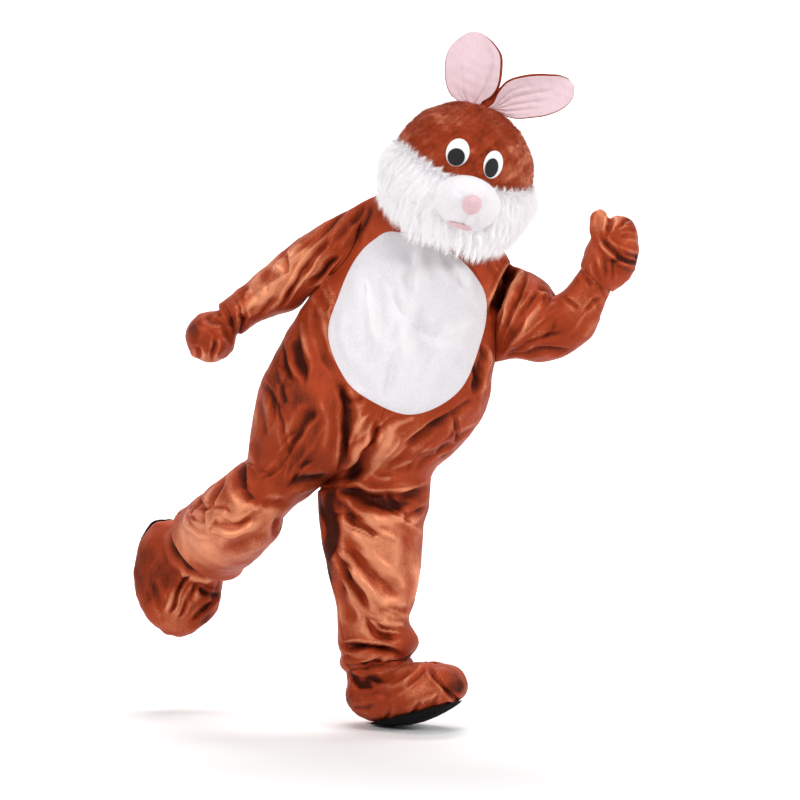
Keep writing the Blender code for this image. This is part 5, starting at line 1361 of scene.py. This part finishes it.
# ---------------------------------------------------------------- head: crown and ruff
# The head is foam-backed plush drawn over an egg. The brown crown is cut in two halves, and a white
# long-pile ruff runs from ear to ear under the chin. The head has its own frame: side, face and up.
HEAD = np.array([3.0, -4.0, 12.4])  # its middle
HEAD_ROLL, HEAD_TURN = 18.0, 9.0
SKULL = np.array([18.6, 17.8, 18.1])  # half width, half depth and half height of its egg
SKULL_RISE = 2.0  # how far the egg's middle lies above the head's
FOAM = 0.8  # thickness of the shell
# Where the crown ends and the ruff begins and ends, and how far the ruff hangs: at an azimuth from
# the face in degrees, a height.
FUR_LINE = (
    (0, -2.0), (25, -1.2), (45, 0.6), (70, 3.4), (90, 4.6),
    (106, 2.6), (120, -1.6), (136, -6.5), (180, -7.5),
)
FUR_END = 114.0  # the azimuth of the ruff's ends
FUR_LOW = ((0, -10.5), (40, -10.5), (75, -8.5), (114, -5.0))
FUR_DROP = ((0, 5.6), (35, 5.6), (55, 4.2), (80, 1.5), (114, 0.0))


def head_axes():
    """The head's own side, face and up directions, from its roll and its turn."""
    roll, turn = np.radians([HEAD_ROLL, HEAD_TURN])
    up = np.array([np.sin(roll), 0, np.cos(roll)])
    face = np.array([np.sin(turn), -np.cos(turn), 0])
    face = unit(face - (face @ up) * up)
    return np.array([np.cross(up, face), face, up])


def on_head(side, front, up):
    """Points given by the head's own frame, in the costume's."""
    axes = head_axes()
    own = np.stack(np.broadcast_arrays(side, front, up), axis=-1)
    return HEAD + own @ axes


def skull(azimuth, height, off):
    """Points at a distance off the head's egg, by azimuth from the face and by height."""
    wide, deep, high = (size + np.asarray(off) for size in SKULL)
    polar = np.arccos(np.clip((height - SKULL_RISE) / SKULL[2], -1, 1))
    a = np.radians(azimuth)
    side, front = wide * np.sin(polar) * np.sin(a), deep * np.sin(polar) * np.cos(a)
    return side, front, SKULL_RISE + high * np.cos(polar)


def face_front(side, up, off):
    """How far forward the head's outside, moved out by off, stands at a place on the face."""
    wide, deep, high = SKULL + off
    rest = 1 - (side / wide) ** 2 - ((up - SKULL_RISE) / high) ** 2
    return deep * np.sqrt(np.clip(rest, 0.01, 1))


def along_table(table, azimuth):
    """A table's height at an azimuth to either side, on straight lines between its rows."""
    return np.interp(np.abs(azimuth), *zip(*table))


def polar(table, azimuth):
    """The angle down the head's egg at which a table's height lies."""
    return np.arccos((along_table(table, azimuth) - SKULL_RISE) / SKULL[2])


def level_at(angle):
    """The height that lies at an angle down the head's egg."""
    return SKULL_RISE + SKULL[2] * np.cos(angle)


PULL_RAISED = np.array([1.5, 11.3, 5.6])  # the zip's pull tab when it is turned right up
PULL_ROOM, PULL_REACH = 0.9, 3.2  # the crown is pressed in behind it, and its pile is short there


def pull_near(p):
    """How near points are to the raised pull tab, from 0 to 1: a Gaussian of the distance."""
    return np.exp(-((np.linalg.norm(p - PULL_RAISED, axis=-1) / PULL_REACH) ** 2))


CROWN_COLUMNS, CROWN_ROWS, CROWN_HOLE = 101, 70, 0.004  # the hole at its top is a share of the way
CROWN_WAVES = (Wave(0.22, 5.0, 51), Wave(0.13, 1.8, 52))
CROWN_NAP_WAVES = (Wave(0.18, 7.0, 53), Wave(0.16, 2.4, 54))
CROWN_PALE, SIDE_PALE, BROW_DARK = 0.04, 0.30, 0.35
crown_domes = []
brown_plush = velour("brown_plush", BROWN_DEEP, BROWN_MIDDLE, BROWN_BRIGHT, 16.0, 0.0035)
for side, sign in (("left", 1), ("right", -1)):
    a = np.linspace(min(sign, 0) * 180, max(sign, 0) * 180, CROWN_COLUMNS)[None, :]
    height = level_at(np.linspace(CROWN_HOLE, 1, CROWN_ROWS)[:, None] * polar(FUR_LINE, a))
    grid = on_head(*skull(a, height, 0.0))
    out = on_head(*skull(a, height, 1.0)) - grid
    lumps = waves(grid, CROWN_WAVES) * (1 - pull_near(grid))
    grid = grid + (lumps - PULL_ROOM * pull_near(grid))[..., None] * out
    across, ahead, above = np.moveaxis((grid - HEAD) @ head_axes().T, -1, 0)
    pale = waves(grid, CROWN_NAP_WAVES) + CROWN_PALE
    # Painted highlight on the crown's lit side, and darker low on its front.
    side_lit, brow = smooth((across - 5) / 8), smooth((1.5 - above) / 3) * (ahead > 0)
    pale += SIDE_PALE * side_lit - BROW_DARK * brow
    crown = piece(f"crown_{side}_plush", grid, brown_plush, turned=True, thick=FOAM, nap=pale)
    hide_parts(f"crown_{side}")
    crown_domes.append((f"crown_{side}_pile", grid, pale))

Pile = namedtuple("Pile", "count length width lean droop root seed")
CROWN_PILE = Pile(14000, 0.75, 0.07, 0.7, 0.4, 0.1, 55)  # its roots start a little way in


def hairs(name, grid, pale, pile, material):
    """Short hairs on a dome's grid, each one thin triangle: it stands on its place, spread evenly by
    area, along the dome's normal and a random lean, and carries the nap value there, with its painted
    light and shade, a little varied."""
    random = np.random.default_rng(pile.seed)
    rows, columns = grid.shape[:2]
    share = np.arccos(1 - random.uniform(0, 1, pile.count)) / (np.pi / 2)
    i = np.round(share * (rows - 1)).astype(int)
    j = random.integers(0, columns - 1, pile.count)
    f = random.uniform(0, 1, (pile.count, 1))
    root = grid[i, j] * (1 - f) + grid[i, j + 1] * f
    out = unit(root - HEAD - SKULL_RISE * head_axes()[2])
    lean = random.normal(0, pile.lean, (pile.count, 3))
    lean[:, 2] -= pile.droop
    way = unit(out + lean - (lean * out).sum(1)[:, None] * out)
    wide = unit(np.cross(way, random.normal(size=(pile.count, 3)))) * pile.width / 2
    length = pile.length * random.uniform(0.6, 1.2, pile.count) * (1 - pull_near(root))
    tip = root + way * length[:, None]
    root = root - pile.root * out
    p = np.stack([root - wide, root + wide, tip], axis=1).reshape(-1, 3)
    body = raw_body(name, p, np.arange(len(p)).reshape(-1, 3).tolist())
    nap = np.repeat(pale[i, j] + random.normal(0.05, 0.2, pile.count), 3)
    finished(body, material, nap=nap)


for k, (name, grid, pale) in enumerate(crown_domes):
    hairs(name, grid, pale, CROWN_PILE._replace(seed=CROWN_PILE.seed + k), brown_plush)

RUFF_COLUMNS, RUFF_ROWS, RUFF_WALL = 115, 41, 0.8
RUFF_LIFT, RUFF_PUFF, CHEEK_PUFF = 0.2, 1.0, 1.1  # how far it stands off the head
a = np.linspace(-FUR_END, FUR_END, RUFF_COLUMNS)[None, :]
top, low = polar(FUR_LINE, a), polar(FUR_LOW, a)
down = np.linspace(0, 1, RUFF_ROWS)[:, None]
ends = smooth((FUR_END - np.abs(a)) / 16)
puff = RUFF_PUFF + CHEEK_PUFF * smooth((np.abs(a) - 50) / 30)  # fullest at the cheeks
off = RUFF_LIFT + puff * smooth(down / 0.3) * ends
side, front, up = skull(a, level_at(top + down * (low - top)), off)
backing = on_head(side, front, up - along_table(FUR_DROP, a) * down**2)
BACKING_SHADE = 0.1  # painted shade, as it lies in the shade of its fur
# The fur's painted shade: deep at the hairs' roots and on the backing, white at the tips.
FUR_DEEP, FUR_WHITE = (0.66, 0.62, 0.66), (0.985, 0.975, 0.98)
# Painted light: a faint glow stands in for light that scatters from hair to hair and comes out of white fur
# again.
FUR_GLOW = {"Emission_Color": (1, 0.99, 0.99, 1), "Emission_Strength": 0.085}
fur_paint = Paint("white_fur", Roughness=0.75, Sheen_Weight=0.3, Sheen_Tint=(1, 1, 1, 1), **FUR_GLOW)
locks = fur_paint.noise(120.0, 2.0)
white = locks * 0.5 + fur_paint.nap()
fur_colour = fur_paint.blend(white.between(0.1, 0.9), FUR_DEEP, FUR_WHITE)
white_fur = fur_paint.feed(Base_Color=fur_colour, Normal=fur_paint.bump(locks, 0.002))
shade = np.full(backing.shape[:2], BACKING_SHADE)
ruff = piece("ruff_backing", backing, white_fur, turned=True, thick=RUFF_WALL, nap=shade)
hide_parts("ruff")

Oval = namedtuple("Oval", "x z wide high")
MUZZLE = Oval(1.6, -7.2, 9.3, 7.4)  # where the face's muzzle leaves the ruff bare
MUZZLE_BARE = 0.78  # the share of that oval which stays bare
Strands = namedtuple("Strands", "count length width lift seed")
STRANDS = Strands(25500, 4.3, 0.064, 0.50, 61)
SEGMENTS = 3
LOCK_SIZE, LOCK_SEED = 1.3, 62  # hairs gather in locks about as wide as this
LOCK_PULL, HAIR_SCATTER, HAIR_BEND = 0.22, 0.2, 0.75
# Each hair's tone: painted shade towards its root, a random scatter, and its lock's.
HAIR_TONE, ROOT_TONE, TONE_SCATTER, LOCK_TONE = 0.75, 0.15, 0.16, 0.14
RUFF_AHEAD = 12.0  # hairs lie away from a point so far in front of the muzzle


def tufts(name, share_from, share_to, strands):
    """Ribbons that grow from the ruff's backing. Each leaves along a mix of straight out and down the
    pile (up, over the crown, along the top edge), falls towards the pile's way, and leans to its lock's
    middle line towards its tip."""
    random = np.random.default_rng(strands.seed)
    u = random.uniform(share_from, share_to, 2 * strands.count) * (backing.shape[1] - 1.001)
    v = random.uniform(0.0, 1.0, 2 * strands.count) * (backing.shape[0] - 1.001)
    own = (backing[v.astype(int), u.astype(int)] - HEAD) @ head_axes().T
    rim = np.hypot((own[:, 0] - MUZZLE.x) / MUZZLE.wide, (own[:, 2] - MUZZLE.z) / MUZZLE.high)
    furred = np.flatnonzero((rim > MUZZLE_BARE) | (own[:, 1] < 0))[: strands.count]
    u, v, n = u[furred], v[furred], len(furred)
    i, j = v.astype(int), u.astype(int)
    fi, fj = (v - i)[:, None], (u - j)[:, None]
    one = backing[i, j] * (1 - fj) + backing[i, j + 1] * fj
    two = backing[i + 1, j] * (1 - fj) + backing[i + 1, j + 1] * fj
    root = one * (1 - fi) + two * fi
    middle = HEAD + SKULL_RISE * head_axes()[2]
    out = unit(root - middle)
    fall = unit(two - one)
    muzzle = middle + np.array([MUZZLE.x, 0, 0]) @ head_axes()
    away = square_to(root - (muzzle + RUFF_AHEAD * head_axes()[1]), out)
    fall = unit(fall * 0.8 + away * 0.7 + np.array([0, 0, -0.35]))
    edge = smooth((v / (backing.shape[0] - 1)) / 0.16)
    ends = smooth((1 - np.abs(2 * u / (backing.shape[1] - 1) - 1)) / 0.08)
    lock = np.stack([ripple(root, LOCK_SIZE, LOCK_SEED + k) for k in range(3)], axis=1)
    stand = strands.lift + 0.1 * (1 - ends) + 1.1 * (1 - edge)
    way = out * stand[:, None] + fall * (2 * edge - 1)[:, None] + LOCK_PULL * lock
    way = unit(way + random.normal(0, HAIR_SCATTER, (n, 3)))
    later = fall * (1.6 * edge - 0.6)[:, None] + 0.16 * out + LOCK_PULL * lock
    later = unit(later + np.array([0, 0, -0.2]))
    size = strands.length * random.uniform(0.6, 1.1, n) * (0.55 + 0.45 * edge) * (0.85 + 0.15 * ends)
    wide = unit(np.cross(way, out)) * strands.width / 2
    s = np.linspace(0, 1, SEGMENTS + 1)
    size, far = size[:, None, None], s[None, :, None]
    bend = size * far**2 * HAIR_BEND * (later - way)[:, None]
    spine = root[:, None] + size * far * way[:, None] + bend
    taper = (1 - s**1.5)[None, :-1, None]
    sides = [spine[:, :-1] - wide[:, None] * taper, spine[:, :-1] + wide[:, None] * taper]
    p = np.concatenate([np.stack(sides, 2).reshape(n, -1, 3), spine[:, -1:]], axis=1)
    each = 2 * SEGMENTS + 1
    base = (np.arange(n) * each)[:, None]
    quads = [base + np.array([2 * k, 2 * k + 1, 2 * k + 3, 2 * k + 2]) for k in range(SEGMENTS - 1)]
    tips = base + np.array([2 * SEGMENTS - 2, 2 * SEGMENTS - 1, 2 * SEGMENTS])
    faces = np.stack(quads, 1).reshape(-1, 4).tolist() + tips.tolist()
    # Painted shade: each hair is darker towards its root.
    tone = np.repeat(s, 2)[:-1] * HAIR_TONE + ROOT_TONE
    nap = tone + random.normal(0, TONE_SCATTER, (n, 1)) + LOCK_TONE * lock[:, :1]
    fur = finished(raw_body(name, p.reshape(-1, 3), faces), white_fur, nap=nap)


tufts("ruff_fur_right", 0.0, 0.5, STRANDS)
tufts("ruff_fur_left", 0.5, 1.0, STRANDS._replace(seed=71))

# ---------------------------------------------------------------- head: face
# The muzzle is a padded dome of short white plush, with a stuffed pink nose and a pink felt lip. The
# eyes are white felt ovals with mesh pupils that the wearer sees through.
MUZZLE_EDGE, MUZZLE_BULGE = 0.4, 6.6
MUZZLE_RINGS, MUZZLE_ROUND = 40, 140
Seam = namedtuple("Seam", "x wide top bottom deep")
MUZZLE_SEAM = Seam(2.1, 0.35, -8.8, -13.2, 0.35)  # from the nose down to the lip
MUZZLE_WAVES, MUZZLE_NAP_WAVES = (Wave(0.10, 3.0, 81),), (Wave(0.06, 4.0, 82),)
MUZZLE_TUCK, MUZZLE_SHADE = 0.25, 1.4  # how far its rim is drawn in, and the painted shade beneath it
MUZZLE_WHITE, MUZZLE_DEEP = (0.92, 0.89, 0.91), (0.76, 0.72, 0.75)


def muzzle_front(side, up):
    """The face's outside, with a dome whose height is a square root of one less the share of the way
    to its rim, squared."""
    rim = ((side - MUZZLE.x) / MUZZLE.wide) ** 2 + ((up - MUZZLE.z) / MUZZLE.high) ** 2
    return face_front(side, up, MUZZLE_EDGE) + MUZZLE_BULGE * np.sqrt(np.clip(1 - rim, 0, 1))


def oval(x, z, wide, high, rings, around):
    """Places inside an oval, across and up, and their share of the way from its middle."""
    share = np.sin(np.linspace(0.0, np.pi / 2, rings + 1))[:, None]
    a = np.linspace(0, -2 * np.pi, around, endpoint=False)[None, :]
    return x + wide * share * np.cos(a), z + high * share * np.sin(a), share


across, level, share = oval(*MUZZLE, MUZZLE_RINGS, MUZZLE_ROUND)
seam = np.exp(-(((across - MUZZLE_SEAM.x) / MUZZLE_SEAM.wide) ** 2))
seam = seam * smooth(level - MUZZLE_SEAM.bottom) * smooth(MUZZLE_SEAM.top - level)
front = muzzle_front(across, level) - MUZZLE_SEAM.deep * seam - MUZZLE_TUCK * share**12
grid = on_head(across, front, level)
grid = grid + waves(grid, MUZZLE_WAVES)[..., None] * head_axes()[1]
rim = on_head(across[-1:], face_front(across[-1:], level[-1:], -FOAM), level[-1:])
muzzle_white = plush("muzzle_white", MUZZLE_WHITE, MUZZLE_DEEP, sheen=0.05)
# Painted shade beneath the muzzle, over a random tone.
shade = -MUZZLE_SHADE * share**6 * smooth(-(level - MUZZLE.z) / MUZZLE.high)
shade = shade + waves(grid, MUZZLE_NAP_WAVES)
nap = np.concatenate([shade, shade[-1:]])
muzzle = piece("muzzle_plush", np.concatenate([grid, rim]), muzzle_white, wrap=True, nap=nap)
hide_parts("muzzle")

# A pad on the face: what it lies on, its middle across and up, half sizes, and how far its rim, its
# edge and its dome stand off.
Pad = namedtuple("Pad", "name on x z wide high under over dome")
PADS = (
    Pad("nose", "muzzle", 1.9, -7.1, 2.45, 2.4, 0.03, 0.30, 2.4),
    Pad("mouth", "muzzle", 1.9, -13.0, 3.9, 1.0, 0.15, 0.50, 0.3),
    Pad("eye_white_right", "face", -4.9, 4.7, 2.8, 3.6, 0.07, 0.60, 0.0),
    Pad("eye_white_left", "face", 4.6, 4.7, 2.5, 3.6, 0.07, 0.60, 0.0),
    Pad("pupil_right", "face", -5.0, 3.4, 2.1, 2.25, 0.62, 0.85, 0.0),
    Pad("pupil_left", "face", 4.4, 3.7, 1.7, 2.5, 0.62, 0.85, 0.0),
)
PAD_RINGS, PAD_ROUND = 12, 64
pink_plush = plush("pink_plush", (0.82, 0.58, 0.61), (0.72, 0.44, 0.48), 0.0008)
FELT_SHADE, FELT_WHITE = (0.86, 0.86, 0.87), (0.93, 0.93, 0.94)
white_felt = matt("white_felt", 700.0, 3.0, FELT_SHADE, FELT_WHITE, 0.0005, edges=None, Roughness=0.85)
mesh_paint = Paint("eye_mesh", Roughness=0.5, Specular_IOR_Level=0.2)
holes = mesh_paint.node("ShaderNodeTexVoronoi", {}, {"Vector": mesh_paint.place(), "Scale": 700.0})
eye_mesh = mesh_paint.feed(
    Base_Color=mesh_paint.blend(holes.between(0.2, 0.5), (0.001, 0.001, 0.001), (0.016, 0.015, 0.017)),
    Normal=mesh_paint.bump(holes, 0.0004),
)
PAD_FINISH = {
    "nose": (pink_plush, "pink_plush"),
    "mouth": (pink_plush, "pink_plush"),
    "eye": (white_felt, "white_felt"),
    "pupil": (eye_mesh, "eye_mesh"),
}
for pad in PADS:
    across, level, share = oval(pad.x, pad.z, pad.wide, pad.high, PAD_RINGS, PAD_ROUND)
    base = muzzle_front(across, level) if pad.on == "muzzle" else face_front(across, level, 0)
    grid = on_head(across, base + pad.over + pad.dome * np.sqrt(1 - share**2), level)
    rim = on_head(across[-1:], base[-1:] + pad.under, level[-1:])
    material, slot = PAD_FINISH[pad.name.split("_")[0]]
    body = piece(f"{pad.name}_pad", np.concatenate([grid, rim]), material, wrap=True)
    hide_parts(pad.name)

# ---------------------------------------------------------------- ears
# Each ear is two layers: brown plush behind and pale pink velour in front, sewn round the rim and
# pinched at its root. One stands up, and the other flops to the side.
Ear = namedtuple("Ear", "x y z wide")  # a point on an ear's middle line, and the half width there
UPRIGHT_EAR = (
    Ear(6.4, -3.3, 30.4, 1.8),
    Ear(6.3, -3.5, 32.7, 2.6),
    Ear(6.2, -3.8, 34.4, 5.0),
    Ear(6.4, -4.1, 37.2, 6.5),
    Ear(6.6, -4.3, 41.6, 7.0),
    Ear(6.9, -4.2, 45.2, 6.5),
    Ear(7.0, -4.0, 48.0, 4.7),
    Ear(7.3, -3.8, 50.0, 2.5),
    Ear(7.4, -3.6, 50.9, 0.7),
)
FLOPPED_EAR = (
    Ear(11.0, -3.7, 30.3, 0.9),
    Ear(12.7, -4.0, 31.3, 1.2),
    Ear(14.6, -4.6, 31.9, 3.1),
    Ear(17.2, -5.4, 32.9, 4.7),
    Ear(20.8, -6.2, 33.5, 5.1),
    Ear(24.7, -6.8, 33.9, 5.0),
    Ear(28.1, -7.0, 34.7, 4.3),
    Ear(30.7, -7.0, 36.1, 3.0),
    Ear(32.2, -7.0, 37.2, 0.9),
)
EAR_LAYER, EAR_CUP, EAR_RIM, EAR_WIDEST = 0.35, 1.4, 0.55, 7.0
EAR_COLUMNS, EAR_CELL, EAR_WALL = 49, 0.46, 0.3
EAR_PINCH = 6  # how far up from its root the plush is pinched
EAR_WAVES = (Wave(0.06, 3.0, 91),)
Pleat = namedtuple("Pleat", "at lean start end wide deep")
UPRIGHT_PLEATS = (  # place across, lean per centimetre up, where along the ear, half width and depth
    Pleat(-0.30, -0.015, 0.00, 0.75, 0.09, 0.45),
    Pleat(0.05, 0.010, 0.00, 0.55, 0.08, 0.35),
    Pleat(0.35, 0.030, 0.00, 0.80, 0.09, 0.50),
    Pleat(-0.55, -0.020, 0.05, 0.50, 0.08, 0.30),
    Pleat(0.62, 0.012, 0.30, 0.95, 0.10, -0.30),
)
FLOPPED_PLEATS = (
    Pleat(-0.45, -0.010, 0.00, 0.60, 0.08, 0.40),
    Pleat(-0.10, -0.008, 0.00, 0.85, 0.09, 0.55),
    Pleat(0.20, 0.006, 0.00, 0.80, 0.08, 0.45),
    Pleat(0.50, 0.012, 0.05, 0.70, 0.08, 0.50),
    Pleat(0.75, 0.004, 0.20, 0.90, 0.10, -0.25),
)


def ear_grid(sections, off, rim, pleats):
    """A strip across the ear's middle line, whose rims curl forwards by the square of their share of
    the way across. Pleats run up from the pinched root and fade. The rim is wider on the outer side,
    and at the root, where the pinched plush shows."""
    centres = middles_of(sections)
    along = unit(np.gradient(centres, axis=0))
    across = unit(np.cross([0, 1.0, 0], along))
    w = np.linspace(-1, 1, EAR_COLUMNS)
    outer = 1 if along[4, 2] > 0.7 else -1
    keys = []
    for s, middle, side, out in zip(sections, centres, across, np.cross(across, along)):
        lift = off + EAR_CUP * (s.wide / EAR_WIDEST) * w**2
        root = smooth(1 - np.linalg.norm(middle - centres[0]) / EAR_PINCH)
        edge = s.wide + rim * (0.5 + (0.9 + 2.4 * root) * smooth(outer * w))
        keys.append(middle + np.outer(w * edge, side) + np.outer(lift, out))
    grid = loft(np.array(keys), EAR_CELL)
    share = np.linspace(0, 1, len(grid))[:, None]
    shift = waves(grid, EAR_WAVES)
    for f in pleats:
        x = (w - f.at - f.lean * 20 * share) / (f.wide * (0.6 + share))
        fade = smooth((share - f.start + 0.08) * 10) * smooth((f.end - share) * 3)
        shift -= f.deep * fade * np.exp(-np.abs(x) ** 1.6)
    out = np.cross(across, along).mean(0)
    return grid + shift[..., None] * unit(out)


pink_velour = plush("pink_velour", (0.75, 0.57, 0.60), (0.66, 0.46, 0.51), 0.0006, sheen=0.15)
EARS = (("right", UPRIGHT_EAR, UPRIGHT_PLEATS), ("left", FLOPPED_EAR, FLOPPED_PLEATS))
LAYERS = (("front", EAR_LAYER, 0.0, pink_velour), ("back", -EAR_LAYER, EAR_RIM, brown_plush))
for side, sections, pleats in EARS:
    for layer, off, rim, material in LAYERS:
        grid = ear_grid(sections, off, rim, pleats)
        back = layer == "back"
        ear = piece(f"ear_{layer}_{side}_layer", grid, material, turned=back, thick=EAR_WALL)
        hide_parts(f"ear_{layer}_{side}")

# ---------------------------------------------------------------- stage, light and camera
# A pale floor runs far out on every side and curves up well behind the costume, under large soft
# lamps on both sides and above. Sizes here are in metres.
FLOOR = cad_box[0][2] - 0.001
Stage = namedtuple("Stage", "near far wall top half steps")
STAGE = Stage(-12.0, 7.5, 9.5, 8.0, 14.0, 40)
s = np.linspace(0, np.pi / 2, STAGE.steps)
bend = STAGE.wall - STAGE.far
curve = np.stack([STAGE.far + bend * np.sin(s), bend - bend * np.cos(s)], axis=1)
profile = np.vstack([[STAGE.near, 0.0], curve, [STAGE.wall, STAGE.top]])
x = np.array([[-STAGE.half, STAGE.half]])
paper = np.stack(np.broadcast_arrays(x, profile[:, :1], profile[:, 1:] + FLOOR), axis=-1)
paper_quads = quads_of(numbered(paper), False, False)
stage = raw_body("stage", paper.reshape(-1, 3) / METRES, paper_quads.tolist())
stage.data.shade_smooth()
stage_paint = Paint("stage_paper", Roughness=1.0, Base_Color=(0.92, 0.92, 0.92, 1))
stage.data.materials.append(stage_paint.material)

SKY = 0.24
world = bpy.data.worlds.new("studio")
world.use_nodes = True
background = world.node_tree.nodes["Background"].inputs
background["Color"].default_value, background["Strength"].default_value = (1, 1, 1, 1), SKY
bpy.context.scene.world = world
Lamp = namedtuple("Lamp", "name x y z aim_x aim_y aim_z size power")
LAMPS = (
    Lamp("left", -2.6, -2.6, 1.0, -0.15, 0.1, -0.4, 1.0, 70),
    Lamp("right", 2.9, -1.9, 0.7, -0.15, 0.1, -0.4, 1.0, 61),
    Lamp("top", 0.2, -1.2, 2.3, -0.15, 0.1, -0.4, 1.0, 24),
    Lamp("back_left", -2.4, 1.5, 0.6, -0.15, 0.1, -0.4, 1.2, 12),
    Lamp("back_right", 2.4, 1.5, 0.6, -0.15, 0.1, -0.4, 1.2, 12),
    Lamp("backdrop", 0.0, 3.2, 4.6, 0.0, 8.0, 0.0, 4.0, 800),
)
for lamp in LAMPS:
    light = bpy.data.lights.new(lamp.name, "AREA")
    light.energy, light.size = lamp.power, lamp.size
    holder = bpy.data.objects.new(lamp.name, light)
    holder.location = (lamp.x, lamp.y, lamp.z)
    away = unit([lamp.x - lamp.aim_x, lamp.y - lamp.aim_y, lamp.z - lamp.aim_z])
    holder.rotation_euler = (np.arccos(away[2]), 0, np.arctan2(away[1], away[0]) + np.pi / 2)
    bpy.context.scene.collection.objects.link(holder)

CAMERA, SENSOR, LENS = (-0.122, -5.42, -0.445), 36, 93.4
camera = bpy.data.objects.new("camera", bpy.data.cameras.new("camera"))
camera.data.sensor_width, camera.data.lens = SENSOR, LENS
camera.location = CAMERA
camera.rotation_euler = (np.pi / 2, 0, 0)
bpy.context.scene.collection.objects.link(camera)
bpy.context.scene.camera = camera
bpy.context.scene.view_settings.view_transform = "Standard"
